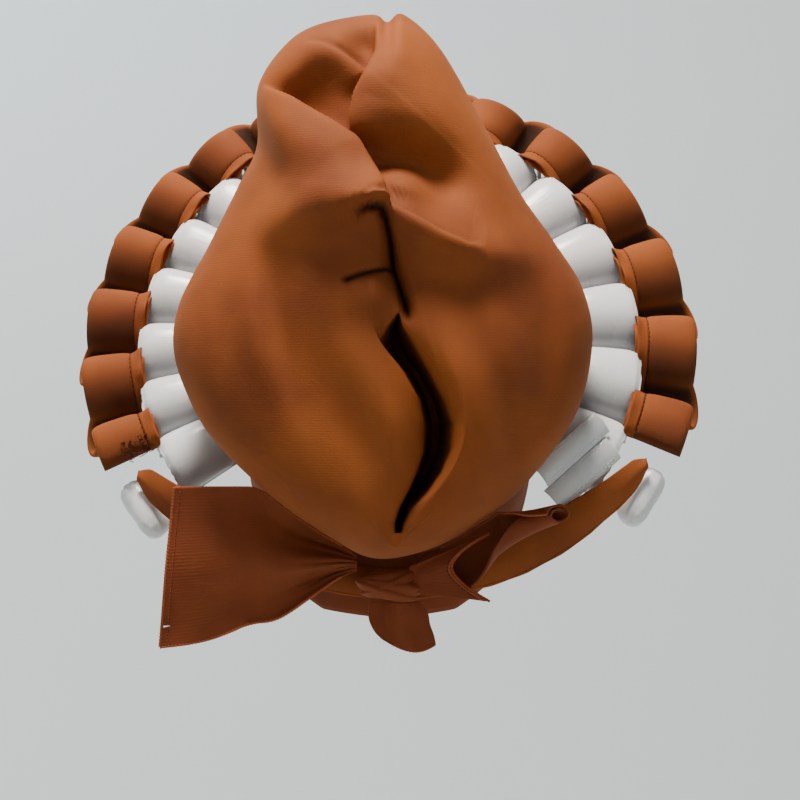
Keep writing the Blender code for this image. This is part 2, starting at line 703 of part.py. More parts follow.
def under_bag(across):
    """Level just under the pouch's outline at a distance across, in the outline's lower half."""
    points, _ = outline_points(200)
    lower = points[points[:, 1] < -BAG_CENTRE_DROP]
    lower = lower[lower[:, 0].argsort()]
    return float(np.interp(across, lower[:, 0], lower[:, 1])) - TAIL_CLEARANCE


def cloth_tail(name, stations, pleats, pleat_depth):
    """A tail of cloth through stations of upper edge, lower edge and pleat share."""
    columns = TAIL_COLUMNS
    grid = []
    for upper, lower, share in stations:
        row = []
        for col in range(columns):
            t = col / (columns - 1)
            wave = math.sin(pleats * math.pi * t) * pleat_depth * share
            row.append(upper + (lower - upper) * t + np.array([0.0, wave, 0.0]))
        grid.append(row)
    return sheet_solid(name, grid, CLOTH, "rust")


def tie_tail_left():
    knot = knot_centre()
    start = knot[0] - KNOT_HALF_WIDTH - TIE_GAP
    corner_level = -(BAG_DROP - TAIL_LEFT_RISE)
    stations = []
    for row in table(TAIL_LEFT_COLUMNS, TAIL_LEFT):
        x = start - row["along"] * TAIL_LEFT_LENGTH
        top = min(corner_level, under_bag(x), -BAG_DROP + TAIL_LEFT_RISE * row["along"] * TAIL_LEFT_STEEP)
        upper = np.array([x, knot[1], top])
        lower = upper + np.array([-TAIL_LEFT_SLANT * row["along"], 0.0,
                                  -row["width"] * TAIL_LEFT_WIDTH])
        stations.append((upper, lower, row["pleat"]))
    return cloth_tail("tie_tail_left", stations, PLEATS_LEFT, PLEAT_DEPTH)


def tie_tail_right():
    knot = knot_centre()
    start = knot[0] + KNOT_HALF_WIDTH + TIE_GAP
    columns = ROLLED_COLUMNS
    grid = []
    for row in table(TAIL_RIGHT_COLUMNS, TAIL_RIGHT):
        x = start + row["along"] * TAIL_RIGHT_LENGTH
        length = row["width"] * TAIL_RIGHT_WIDTH
        sweep = 2 * math.pi * row["turns"]
        radius = length / sweep
        height = 2 * radius * math.sin(min(sweep, math.pi) / 2)
        rise = TAIL_RIGHT_RISE * row["along"] ** TAIL_RIGHT_BEND
        top = min(under_bag(x), knot[2] + rise + height / 2)
        back = knot[1] + TAIL_RIGHT_AHEAD - TAIL_RIGHT_BACK * row["along"] ** 2
        middle = np.array([x, back, top - height / 2])
        line = []
        for col in range(columns):
            turn = sweep * (col / (columns - 1) - 0.5)
            line.append(middle + np.array([0.0, -radius * (1 - math.cos(turn)),
                                           -radius * math.sin(turn)]))
        grid.append(line)
    return sheet_solid("tie_tail_right", grid, CLOTH, "rust")


def tie_end_flared():
    """The other end on the right: it spreads from the knot to a curved cut edge."""
    knot = knot_centre()
    start = knot + np.array([KNOT_HALF_WIDTH + TIE_GAP - FLARE_SEAT, -FLARE_BACK, 0.0])
    grid = []
    for along in np.linspace(0, 1, FLARE_STATIONS):
        line = []
        for side in np.linspace(1, -1, TAIL_COLUMNS):
            reach = FLARE_MIDDLE + (FLARE_CORNER - FLARE_MIDDLE) * side ** 2
            rise = FLARE_ROOT_RISE + (FLARE_RISE - FLARE_ROOT_RISE) * along
            half = (FLARE_ROOT_WIDTH + (FLARE_WIDTH - FLARE_ROOT_WIDTH) * along) / 2
            trough = FLARE_TROUGH * along * (1 - side ** 2)
            line.append(start + np.array([reach * along, trough - FLARE_OUT * along,
                                          rise + half * side]))
        grid.append(line)
    return sheet_solid("tie_end_flared", grid, CLOTH, "rust")


def tie_end_short():
    knot = knot_centre()
    top = knot + np.array([0.0, 0.0, -(KNOT_HALF_HEIGHT + TIE_GAP)])
    stations = []
    for row in table(SHORT_END_COLUMNS, SHORT_END):
        along = row["along"]
        half = SHORT_END_WIDTH * row["width"] / 2
        centre = top + along * np.array([SHORT_END_ASIDE, SHORT_END_BACK, -SHORT_END_LENGTH])
        stations.append((centre + np.array([-half, 0, SHORT_END_SKEW * along]),
                         centre + np.array([half, 0, 0.0]), 1.0))
    return cloth_tail("tie_end_short", stations, PLEATS_SHORT, SHORT_END_PLEAT)


def flat_strap(name, start, end, sag, width, thickness, cloth, across=(0.0, 0.0, 1.0)):
    """A flat strap from start to end, its width along across, bowed by the sag."""
    start, end = np.array(start), np.array(end)
    grid = []
    for t in np.linspace(0, 1, STRAP_STATIONS):
        centre = start + (end - start) * t + np.array(sag) * 4 * t * (1 - t)
        half = np.array(across) * width / 2
        row = [centre + half * share for share in (1, 0, -1)]
        grid.append(row)
    return sheet_solid(name, grid, thickness, cloth)


def straps():
    knot = knot_centre()
    stand = STRAP_WIDTH / 2 * math.sin(LEAN) + STRAP_THICKNESS / 2 + TIE_GAP
    depth = knot[1] + KNOT_HALF_DEPTH + SEAT_GAP + STRAP_THICKNESS / 2
    for word, roll, side, sag in (("left", -RUST_TAIL, -1, STRAP_SAG_LEFT),
                                  ("right", ROLL_COUNT - 1 + RUST_TAIL, 1, STRAP_SAG_RIGHT)):
        past = RUST_THICKNESS / 2 + STRAP_THICKNESS / 2 - STRAP_SEAT
        angle = roll_angle(roll) + side * past / STRAP_RING
        start = ring_point(angle, STRAP_RING, stand)
        end = np.array([knot[0] + side * STRAP_END, depth, knot[2] - STRAP_END])
        flat_strap("strap_" + word, start, end, (0.0, -STRAP_SAG_BACK, -sag), STRAP_WIDTH,
                   STRAP_THICKNESS, "rust")
        end_roll("white_end_roll_" + word, angle + side * TIE_GAP / STRAP_RING, side)


def white_end_flap():
    """The flat strip at the end of the white band on the right."""
    height = WHITE_NEAR + WHITE_THICKNESS / 2 + FLAP_THICKNESS / 2 + FLAP_LIFT
    start = ring_point(roll_angle(ROLL_COUNT - FLAP_ROLL), FLAP_RING, height)
    end = start + unit(np.array(FLAP_WAY)) * FLAP_LENGTH
    across = unit(np.array(FLAP_ACROSS))
    return flat_strap("white_end_flap", start, end, (0, 0, 0), FLAP_WIDTH, FLAP_THICKNESS,
                      "white", across)


def build():
    clear_scene()
    inner_cap()
    halo()
    crown_bag()
    tie_knot()
    tie_tail_left()
    tie_tail_right()
    tie_end_flared()
    tie_end_short()
    straps()
    white_end_flap()


build()
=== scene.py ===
# %% [markdown]
# # A tied gele head tie, seen from behind
# The frame holds the plain solids with their true sizes. This script gives each one its cloth:
# the gathered pouch, the fitted cap, the two woven padded bands, and the tie at the nape.
# All lengths are metres, +Z is up, and the photo looks along +Y at the back of the wrap.

# %% Load the frame and keep its box
import math

import bmesh
import bpy
import numpy as np
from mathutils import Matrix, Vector


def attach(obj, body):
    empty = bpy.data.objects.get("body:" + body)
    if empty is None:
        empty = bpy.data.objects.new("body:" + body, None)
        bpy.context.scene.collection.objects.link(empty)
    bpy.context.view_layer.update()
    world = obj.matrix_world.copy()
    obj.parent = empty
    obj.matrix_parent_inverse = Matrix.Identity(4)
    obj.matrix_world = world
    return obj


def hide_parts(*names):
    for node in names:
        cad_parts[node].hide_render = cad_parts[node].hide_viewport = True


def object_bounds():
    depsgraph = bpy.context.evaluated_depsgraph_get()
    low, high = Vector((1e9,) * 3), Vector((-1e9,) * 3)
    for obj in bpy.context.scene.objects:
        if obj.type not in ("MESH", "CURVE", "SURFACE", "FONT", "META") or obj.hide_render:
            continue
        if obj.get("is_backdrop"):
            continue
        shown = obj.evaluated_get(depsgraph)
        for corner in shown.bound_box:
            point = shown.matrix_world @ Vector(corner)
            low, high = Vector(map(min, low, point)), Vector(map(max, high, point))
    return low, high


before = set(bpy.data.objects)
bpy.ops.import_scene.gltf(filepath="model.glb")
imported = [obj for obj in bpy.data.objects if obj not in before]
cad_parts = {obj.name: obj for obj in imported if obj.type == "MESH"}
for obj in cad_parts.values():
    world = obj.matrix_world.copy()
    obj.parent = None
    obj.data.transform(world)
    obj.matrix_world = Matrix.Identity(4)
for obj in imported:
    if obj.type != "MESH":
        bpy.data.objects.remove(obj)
cad_low, cad_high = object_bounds()
print("frame nodes:", len(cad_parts))
print("frame box mm:", [round((b - a) * 1000, 1) for a, b in zip(cad_low, cad_high)])

# %% [markdown]
# ## Camera, floor and light
# The camera stands level behind the wrap. The light comes mostly from above and a little from
# the left, inside a round pale studio, so that every side has a plain ground behind it.

# %% Camera
CAMERA_PLACE = (0.0054, -0.85, -0.102)
CAMERA_LENS = 70.74                  # mm, on a sensor 36 mm wide

camera_data = bpy.data.cameras.new("camera")
camera_data.lens = CAMERA_LENS
camera_data.sensor_width = 36.0
camera_data.clip_start, camera_data.clip_end = 0.05, 20.0
camera = bpy.data.objects.new("camera", camera_data)
camera.location = CAMERA_PLACE
camera.rotation_euler = (math.radians(90), 0, 0)
bpy.context.scene.collection.objects.link(camera)
bpy.context.scene.camera = camera
print("camera at", CAMERA_PLACE)


# %% Node helpers for the materials
def linear(code):
    """An sRGB hex colour as linear red, green, blue and alpha."""
    parts = [int(code[i:i + 2], 16) / 255 for i in (1, 3, 5)]
    flat = [p / 12.92 if p <= 0.04045 else ((p + 0.055) / 1.055) ** 2.4 for p in parts]
    return tuple(flat) + (1.0,)


def new_material(name):
    """A material with its Principled shader, and a function that adds a node to it."""
    made = bpy.data.materials.new(name)
    made.use_nodes = True
    tree = made.node_tree

    def add(kind, links=None, **values):
        """A node of a kind, its properties and its inputs: a link where the value is a socket."""
        node = tree.nodes.new("ShaderNode" + kind)
        for key, value in values.items():
            setattr(node, key, value)
        for key, value in (links or {}).items():
            if isinstance(value, bpy.types.NodeSocket):
                tree.links.new(value, node.inputs[key])
            else:
                node.inputs[key].default_value = value
        return node

    return made, tree.nodes["Principled BSDF"], add


# %% Floor sweep and lights
FLOOR_LEVEL = cad_low.z - 1.20
SWEEP_START, SWEEP_RADIUS = 1.6, 1.2
WALL_COLUMNS = 96


def floor_sweep(name, code, roughness=0.9):
    """A round floor that runs up into a wall all round it, in one smooth bend."""
    profile = [(0.01, FLOOR_LEVEL)]
    for turn in np.linspace(0, math.pi / 2, 40):
        profile.append((SWEEP_START + SWEEP_RADIUS * math.sin(turn),
                        FLOOR_LEVEL + SWEEP_RADIUS * (1 - math.cos(turn))))
    profile.append((SWEEP_START + SWEEP_RADIUS, 4.0))
    turns = np.linspace(0, 2 * math.pi, WALL_COLUMNS, endpoint=False)
    points = [(r * math.cos(t), r * math.sin(t), z) for r, z in profile for t in turns]
    faces = [(low + k, low + WALL_COLUMNS + k, low + WALL_COLUMNS + (k + 1) % WALL_COLUMNS,
              low + (k + 1) % WALL_COLUMNS)
             for low in range(0, (len(profile) - 1) * WALL_COLUMNS, WALL_COLUMNS)
             for k in range(WALL_COLUMNS)]
    mesh = bpy.data.meshes.new(name)
    mesh.from_pydata(points, [], faces)
    mesh.shade_smooth()
    item = bpy.data.objects.new(name, mesh)
    bpy.context.scene.collection.objects.link(item)
    made, shader, add = new_material(name + "_paint")
    grain = add("TexNoise", {"Scale": 6.0, "Detail": 3.0})
    ramp = add("Mix", {"Factor": grain.outputs["Fac"], "A": linear(code), "B": linear(code)},
               data_type="RGBA")
    for socket in ramp.inputs:
        if socket.name == "B" and socket.type == "RGBA":
            socket.default_value = tuple(0.96 * c for c in linear(code)[:3]) + (1.0,)
    made.node_tree.links.new(ramp.outputs["Result"], shader.inputs["Base Color"])
    shader.inputs["Roughness"].default_value = roughness
    mesh.materials.append(made)
    item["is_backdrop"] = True
    return item


def area_light(name, place, aim, size, power, code="#ffffff"):
    data = bpy.data.lights.new(name, "AREA")
    data.shape, data.size, data.energy = "DISK", size, power
    data.color = linear(code)[:3]
    item = bpy.data.objects.new(name, data)
    item.location = place
    item.rotation_euler = (Vector(aim) - Vector(place)).to_track_quat("-Z", "Y").to_euler()
    bpy.context.scene.collection.objects.link(item)
    return item


floor_sweep("floor", "#e6e9e8")
area_light("key", (-0.16, -0.26, 1.30), (0, -0.04, -0.05), 0.45, 46.0, "#fff6ea")
area_light("fill", (-0.9, -1.5, 0.45), (0, 0, -0.05), 1.2, 0.5, "#f8f8ff")
area_light("wall_wash", (-0.8, 0.50, 1.5), (-1.1, 2.8, 0.5), 0.9, 66.0, "#f0fbff")
world = bpy.data.worlds.new("studio")
world.use_nodes = True
world.node_tree.nodes["Background"].inputs["Color"].default_value = linear("#dfe3e6")
world.node_tree.nodes["Background"].inputs["Strength"].default_value = 0.03
bpy.context.scene.world = world
print("floor at", round(FLOOR_LEVEL, 4))

# %% [markdown]
# ## Cloth
# The rust cloth is a matte double crepe: fine crosswise ribs about 1.2 mm apart under an even
# grain. The white cloth is satin, smooth and a little glossy, with small puckers along its seam.
# Each piece keeps its flat cut as UVs in metres, so the ribs follow the cloth, not the room.

# %% Rust crepe and white satin
RIB_PITCH = 0.0012          # metres from rib to rib
GRAIN_PITCH = 0.0008


def mixed(add, share, low, high):
    """A colour between two hex colours by a share."""
    node = add("ValToRGB", {"Fac": share})
    ramp = node.color_ramp
    ramp.elements[0].color, ramp.elements[1].color = linear(low), linear(high)
    return node


def rust_crepe(name, low="#7a3b18", high="#9c5220", rib=0.09, rough=0.80):
    """Matte rust scuba crepe: slow shade changes, crosswise ribs and a fine grain."""
    made, shader, add = new_material(name)
    place = add("TexCoord").outputs["Object"]
    cut = add("UVMap", uv_map="cut").outputs["UV"]
    slow = add("TexNoise", {"Vector": place, "Scale": 11.0, "Detail": 3.0, "Roughness": 0.6})
    shade = mixed(add, slow.outputs["Fac"], low, high)
    shade.color_ramp.elements[0].position, shade.color_ramp.elements[1].position = 0.34, 0.68
    grain = add("TexNoise", {"Vector": place, "Scale": 1 / GRAIN_PITCH, "Detail": 2.0})
    ribs = add("TexWave", {"Vector": cut, "Scale": 0.314 / RIB_PITCH, "Distortion": 1.1,
                           "Detail": 1.0, "Detail Scale": 2.0}, bands_direction="Y")
    speck = add("MixRGB", {"Fac": 0.16, "Color1": shade.outputs["Color"],
                           "Color2": grain.outputs["Fac"]}, blend_type="SOFT_LIGHT")
    # Painted shade: a shade stored on the cloth mixes the crepe towards near black in valleys,
    # creases, under laps and on lower flanks.
    painted_shade = add("Attribute", attribute_name="painted_shade")
    painted_shade_mix = add("MixRGB", {"Fac": painted_shade.outputs["Fac"], "Color1": speck.outputs["Color"],
                          "Color2": linear("#1c0b05")})
    made.node_tree.links.new(painted_shade_mix.outputs["Color"], shader.inputs["Base Color"])
    fine = add("Bump", {"Height": grain.outputs["Fac"], "Strength": 0.22, "Distance": 0.0004})
    ribbed = add("Bump", {"Height": ribs.outputs["Fac"], "Strength": rib, "Distance": 0.0004,
                          "Normal": fine.outputs["Normal"]})
    soft = add("TexNoise", {"Vector": place, "Scale": 42.0, "Detail": 2.0})
    waved = add("Bump", {"Height": soft.outputs["Fac"], "Strength": 0.20, "Distance": 0.0012,
                         "Normal": ribbed.outputs["Normal"]})
    made.node_tree.links.new(waved.outputs["Normal"], shader.inputs["Normal"])
    worn = add("MapRange", {"Value": grain.outputs["Fac"], "To Min": rough - 0.08,
                            "To Max": rough + 0.08})
    made.node_tree.links.new(worn.outputs["Result"], shader.inputs["Roughness"])
    shader.inputs["Sheen Weight"].default_value = 0.10
    shader.inputs["Sheen Roughness"].default_value = 0.45
    shader.inputs["Sheen Tint"].default_value = linear("#d9863a")
    shader.inputs["Specular IOR Level"].default_value = 0.25
    return made


def white_satin(name, low="#e2e4e8", high="#f6f6f8", pucker=0.5):
    """Glossy white satin: faint cool shade, a fine twill sheen and small puckers."""
    made, shader, add = new_material(name)
    place = add("TexCoord").outputs["Object"]
    cut = add("UVMap", uv_map="cut").outputs["UV"]
    slow = add("TexNoise", {"Vector": place, "Scale": 24.0, "Detail": 2.0})
    shade = mixed(add, slow.outputs["Fac"], low, high)
    # Painted shade: a shade stored on the cloth mixes the satin towards grey in its valleys and on
    # its lower flanks.
    painted_shade = add("Attribute", attribute_name="painted_shade")
    painted_shade_mix = add("MixRGB", {"Fac": painted_shade.outputs["Fac"], "Color1": shade.outputs["Color"],
                          "Color2": linear("#62666d")})
    made.node_tree.links.new(painted_shade_mix.outputs["Color"], shader.inputs["Base Color"])
    narrow = add("Mapping", {"Vector": cut, "Scale": (420.0, 60.0, 1.0)})
    crimps = add("TexNoise", {"Vector": narrow.outputs["Vector"], "Scale": 1.0, "Detail": 2.0})
    soft = add("TexNoise", {"Vector": place, "Scale": 70.0, "Detail": 3.0})
    first = add("Bump", {"Height": crimps.outputs["Fac"], "Strength": pucker * 0.4,
                         "Distance": 0.0006})
    second = add("Bump", {"Height": soft.outputs["Fac"], "Strength": 0.25, "Distance": 0.0010,
                          "Normal": first.outputs["Normal"]})
    made.node_tree.links.new(second.outputs["Normal"], shader.inputs["Normal"])
    gloss = add("MapRange", {"Value": soft.outputs["Fac"], "To Min": 0.18, "To Max": 0.34})
    made.node_tree.links.new(gloss.outputs["Result"], shader.inputs["Roughness"])
    shader.inputs["Sheen Weight"].default_value = 0.15
    shader.inputs["Specular IOR Level"].default_value = 0.5
    return made


RUST = rust_crepe("rust_scuba_crepe")                                  # matte double crepe
RUST_TIE = rust_crepe("rust_crepe_tie", "#6f331a", "#8a4321", 0.16)    # single layer, more ribbed
RUST_EDGE = rust_crepe("rust_overlocked_edge", "#9a4a2c", "#b9623c", 0.6, 0.9)  # edge thread
FRAY = rust_crepe("dark_red_fray_thread", "#3c1512", "#5e241c", 0.2, 0.7)       # loose thread
SATIN = white_satin("white_padded_satin")                              # glossy satin, padded
# The flat satin is the same cloth in a darker copy: its greyer tone is a painted shade.
SATIN_FLAT = white_satin("white_flat_satin", "#d6dade", "#eceef0", 0.8)  # same satin, unpadded
print("materials:", len(bpy.data.materials))

# %% [markdown]
# ## From rows of points to cloth
# Every piece is a grid of points: rows along the cloth and columns across it. One function turns
# a grid into a mesh and stores its flat cut as UVs, and another puts it in place of its solid.

# %% Cloth from a grid


def clear_selection():
    for item in bpy.context.selected_objects:
        item.select_set(False)


def smooth_step(value, low, high):
    share = np.clip((value - low) / (high - low), 0.0, 1.0)
    return share * share * (3 - 2 * share)


def unit(vector):
    return vector / np.linalg.norm(vector, axis=-1, keepdims=True)


def distances(grid, axis):
    """Mean running length of a grid along an axis, from its first row or column."""
    steps = np.linalg.norm(np.diff(grid, axis=axis), axis=2).mean(axis=1 - axis)
    return np.concatenate([[0.0], np.cumsum(steps)])


def grid_mesh(name, grid, finish, ring=False, ends=False, cut=None):
    """A mesh from rows of points. A ring's last column joins its first; ends closes a ring."""
    grid = np.asarray(grid, float)
    rows, cols = grid.shape[:2]
    faces = []
    for row in range(rows - 1):
        for col in range(cols if ring else cols - 1):
            after = (col + 1) % cols
            faces.append((row * cols + col, row * cols + after,
                          (row + 1) * cols + after, (row + 1) * cols + col))
    if ends:
        faces.append(tuple(range(cols - 1, -1, -1)))
        faces.append(tuple(range((rows - 1) * cols, rows * cols)))
    mesh = bpy.data.meshes.new(name)
    mesh.from_pydata(grid.reshape(-1, 3).tolist(), [], faces)
    if cut is None:
        along, across = distances(grid, 0), distances(grid, 1)
        cut = np.stack(np.meshgrid(along, across, indexing="ij"), axis=2)
    flat = np.asarray(cut, float).reshape(-1, 2)
    layer = mesh.uv_layers.new(name="cut")
    corner = np.zeros(len(mesh.loops), int)
    mesh.loops.foreach_get("vertex_index", corner)
    layer.data.foreach_set("uv", flat[corner].ravel())
    work = bmesh.new()
    work.from_mesh(mesh)
    bmesh.ops.recalc_face_normals(work, faces=work.faces)
    work.to_mesh(mesh)
    work.free()
    mesh.shade_smooth()
    mesh.materials.append(finish)
    item = bpy.data.objects.new(name, mesh)
    bpy.context.scene.collection.objects.link(item)
    return item


def face_outwards(item, middle=None):
    """Turn an open cloth's faces so that they look away from a point."""
    mesh = item.data
    centres = np.array([face.center for face in mesh.polygons])
    normals = np.array([face.normal for face in mesh.polygons])
    away = centres - (centres.mean(axis=0) if middle is None else np.array(middle))
    if (away * normals).sum() < 0:
        mesh.flip_normals()


def apply_modifier(item, kind, **values):
    clear_selection()
    bpy.context.view_layer.objects.active = item
    item.select_set(True)
    made = item.modifiers.new(kind.lower(), kind)
    for key, value in values.items():
        setattr(made, key, value)
    bpy.ops.object.modifier_apply(modifier=made.name)
    clear_selection()


def settle(item, slot, *nodes):
    """The piece takes the place of its solids and rides with the part."""
    if nodes:
        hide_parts(*nodes)
    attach(item, "root")
    return item


def store_shade(item, values):
    """Store a painted shade on each point, from 0 to 1, which darkens its cloth where shade falls.
    """
    shade = item.data.attributes.new("painted_shade", "FLOAT", "POINT")
    shade.data.foreach_set("value", np.clip(values, 0.0, 1.0))


def cloth_area(item):
    return sum(face.area for face in item.data.polygons)


def tube(name, path, radii, finish, sides=8, up=(0.0, 0.0, 1.0)):
    """A round tube along a path, with a radius for each point."""
    path = np.asarray(path, float)
    run = unit(np.gradient(path, axis=0))
    side = unit(np.cross(run, np.array(up)) + 1e-9)
    lift = np.cross(side, run)
    turn = np.linspace(0, 2 * np.pi, sides, endpoint=False)
    radii = np.broadcast_to(np.asarray(radii, float), (len(path),))[:, None, None]
    grid = path[:, None] + radii * (side[:, None] * np.cos(turn)[None, :, None]
                                    + lift[:, None] * np.sin(turn)[None, :, None])
    return grid_mesh(name, grid, finish, ring=True, ends=True)


print("helpers ready")

# %% [markdown]
# ## The woven halo
# Two long padded bands run side by side round a ring that leans forward. Each one waves behind
# and ahead of short white strips, and the two are out of step, as in a plain weave. Seen from
# behind, every half-wave that comes near looks like a fat roll with a bright top.

# %% Ring and waves
LEAN = math.radians(30.0)
RING_CENTRE = np.array([0.0, 0.005, -0.072])
RING_ACROSS = np.array([1.0, 0.0, 0.0])
RING_UP = np.array([0.0, math.sin(LEAN), math.cos(LEAN)])
RING_BACK = np.array([0.0, -math.cos(LEAN), math.sin(LEAN)])
EXTRA_RISE = 0.013
COLLAR_RADIUS, SEAT_GAP = 0.100, 0.0004
WHITE_WIDTH, RUST_WIDTH = 0.0345, 0.0290
WHITE_INNER = COLLAR_RADIUS + SEAT_GAP
RUST_INNER = WHITE_INNER + WHITE_WIDTH + SEAT_GAP
ROLLS, FIRST_DEG, LAST_DEG, SPREAD = 15, -115.0, 111.0, 0.13
RUST_TAIL, WHITE_TAIL = 0.26, 0.92
WAVE_STEPS = 22             # rows in each half-wave


def ring_point(angle, radius, back=0.0):
    """Points at angles from the ring's top, radii from its middle and heights behind it."""
    angle, radius, back = (np.asarray(v, float)[..., None] for v in (angle, radius, back))
    return (RING_CENTRE + RING_ACROSS * radius * np.sin(angle)
            + RING_UP * (radius + EXTRA_RISE) * np.cos(angle) + RING_BACK * back)


def roll_angle(roll):
    share = np.asarray(roll, float) / (ROLLS - 1)
    spread = share * (1 - SPREAD) + SPREAD * share * share
    return np.radians(FIRST_DEG + (LAST_DEG - FIRST_DEG) * spread)


def wave_rows(first, last, phase, near_share, square):
    """Places along a band in rolls, and its height from -1 to 1. A low square makes full crests."""
    rolls, heights = [], []
    for crest in range(math.floor(first) - 1, math.ceil(last) + 2):
        for middle, half, way, power in ((crest, near_share / 2, 1.0, square),
                                         (crest + 0.5, 0.5 - near_share / 2, -1.0, 1.0)):
            for step in range(WAVE_STEPS):
                turn = math.pi * step / WAVE_STEPS
                reach = math.copysign(abs(math.cos(turn)) ** power, math.cos(turn))
                roll = phase + middle - half * reach
                if first <= roll <= last:
                    rolls.append(roll)
                    heights.append(way * math.sin(turn) ** power)
    return np.array(rolls), np.array(heights)


def lean_up(angle, back, lean):
    """How far cloth at a height behind the plane is pushed along the ring, towards its top."""
    outward = unit(ring_point(angle, 0.2) - ring_point(angle, 0.1))
    upward = RING_UP - outward * (outward @ RING_UP)[..., None]
    return upward * (lean * np.asarray(back, float))[..., None]


# %% [markdown]
# The cross-section is a table: how far across the band, and how thick there. The satin band has a
# thin puckered seam on its outer edge. Each crest leans up, so its top edge is sharp and bright,
# and it covers the bottom of the dark valley above it. The lights alone leave the valleys and the
# lower flanks too bright, so a shade stored on the cloth deepens them.

# %% Cross-sections of the bands
SECTION_COLUMNS = ("across", "thick")       # shares of the width and of the half-thickness
RUST_SECTION = ((-0.44, 0.20), (-0.42, 0.44), (-0.38, 0.68), (-0.32, 0.84), (-0.22, 0.94),
                (-0.10, 0.98), (0.04, 1.0), (0.18, 1.0), (0.29, 0.97), (0.38, 0.88),
                (0.44, 0.74), (0.48, 0.52), (0.50, 0.20))
WHITE_SECTION = ((-0.50, 0.30), (-0.46, 0.60), (-0.38, 0.86), (-0.25, 0.97), (-0.10, 1.0),
                 (0.08, 1.0), (0.22, 0.98), (0.33, 0.90), (0.40, 0.74), (0.44, 0.54),
                 (0.465, 0.30), (0.48, 0.17), (0.50, 0.12))


def read_table(columns, rows):
    return [dict(zip(columns, row)) for row in rows]


def add_shade(item, spec, rolls, angles, heights, through, across):
    """Paint shade into each valley and onto each roll's lower flank, short of the band's lit outer
    edge.
    """
    facing = np.sign(through @ RING_BACK)
    aside = rolls - spec["phase"]
    down = (aside - np.round(aside)) / (spec["near_share"] / 2) * np.sign(np.sin(angles))
    flank = smooth_step(down * np.abs(np.sin(angles)), -0.1, 1.1)
    columns = []
    for side, order in ((1, across), (-1, across[::-1])):
        for place in order:
            inside = 1 - smooth_step(np.array(place), 0.36, 0.49)
            seen = facing * side
            valley = smooth_step(-heights * seen, -0.45, 0.45) * inside
            lower = flank * smooth_step(heights * seen, -0.2, 0.3) * (seen > 0)
            columns.append(np.maximum(valley * spec["valley"], lower * spec["flank"]))
    store_shade(item, np.stack(columns, axis=1).ravel())


def waving_band(name, spec, finish):
    """A padded band through its waves, with pinched ends and a crimped edge."""
    rolls, heights = wave_rows(spec["first"], spec["last"], spec["phase"], spec["near_share"],
                               spec["square"])
    angles = roll_angle(rolls)
    back = np.where(heights > 0, heights * spec["near"], heights * spec["far"])
    middle = spec["inner"] + spec["width"] / 2
    path = ring_point(angles, middle, back) + lean_up(angles, back, spec["lean"])
    outward = unit(ring_point(angles, middle + 0.01) - ring_point(angles, middle))
    run = np.gradient(path, axis=0)
    run = unit(run - outward * (run * outward).sum(axis=1, keepdims=True))
    through = np.cross(outward, run)
    rows = read_table(SECTION_COLUMNS, spec["section"])
    across = np.array([row["across"] for row in rows])
    thick = np.array([row["thick"] for row in rows])
    place = distances(path[:, None], 0)
    near = smooth_step(heights, -0.6, 0.7)
    from_end = np.minimum(place - place[0], place[-1] - place)
    end = np.sqrt(np.clip(from_end / spec["end"], 0.03, 1.0))
    own = 1 + 0.06 * np.sin(2.4 * rolls + 1.0) + 0.04 * np.sin(5.3 * rolls)
    puff = spec["half"] * (spec["slack"] + (1 - spec["slack"]) * near) * end * own
    topward = np.clip(np.cos(angles), 0, 1)
    lip = ((spec["far_lip"] + spec["top_lip"] * topward) * np.clip(-heights, 0, 1)
           - 0.45 * spec["top_lip"] * topward * np.clip(heights, 0, 1))
    crimp = spec["crimp"] * np.sin(2 * np.pi * place / spec["crimp_pitch"]
                                   + 1.7 * np.sin(place * 190.0))
    grid = []
    for side, order in ((1, range(len(rows))), (-1, reversed(range(len(rows))))):
        for index in order:
            out = across[index] * spec["width"] + (lip * (across[index] + 0.5) ** 2)
            edge = abs(across[index] - spec["crimp_at"]) < 0.06
            shift = crimp if edge else 0.0 * crimp
            height = side * thick[index] * puff + shift
            grid.append(path + outward * (out + 0.4 * shift)[:, None] + through * height[:, None])
    grid = np.stack(grid, axis=1)
    cut = np.stack(np.meshgrid(place, np.concatenate([across, across[::-1]]) * spec["width"],
                               indexing="ij"), axis=2)
    item = grid_mesh(name, grid, finish, ring=True, ends=True, cut=cut)
    add_shade(item, spec, rolls, angles, heights, through, across)
    print(name, "length m:", round(float(place[-1]), 3), "rows:", len(rolls))
    return item, path, outward, through, puff, heights


# valley and flank are the strengths of the painted shade in the valleys and on the lower flanks.
RUST_BAND = {"first": -RUST_TAIL, "last": ROLLS - 1 + RUST_TAIL, "phase": 0.0, "near_share": 0.60,
             "square": 0.92, "lean": 0.75, "near": 0.0118, "far": 0.0075, "inner": RUST_INNER,
             "width": RUST_WIDTH, "half": 0.0036, "slack": 0.60, "far_lip": 0.0050,
             "top_lip": 0.0080, "valley": 0.92, "flank": 0.68,
             "section": RUST_SECTION, "crimp": 0.0003, "crimp_pitch": 0.0052, "crimp_at": -0.44,
             "end": 0.004}
WHITE_BAND = {"first": -WHITE_TAIL, "last": ROLLS - 1 + WHITE_TAIL, "phase": 0.5,
              "near_share": 0.80, "square": 0.84, "lean": 0.35, "near": 0.0104, "far": 0.0068,
              "inner": WHITE_INNER, "width": WHITE_WIDTH, "half": 0.0040, "slack": 0.42,
              "far_lip": 0.0, "top_lip": 0.0, "valley": 0.95, "flank": 0.80,
             "section": WHITE_SECTION, "crimp": 0.0008, "crimp_pitch": 0.0030,
              "crimp_at": 0.49, "end": 0.004}
rust_band, rust_path, rust_out, rust_through, rust_puff, rust_height = waving_band(
    "rust_padded_band", RUST_BAND, RUST)
settle(rust_band, "rust_crepe", "rust_band")
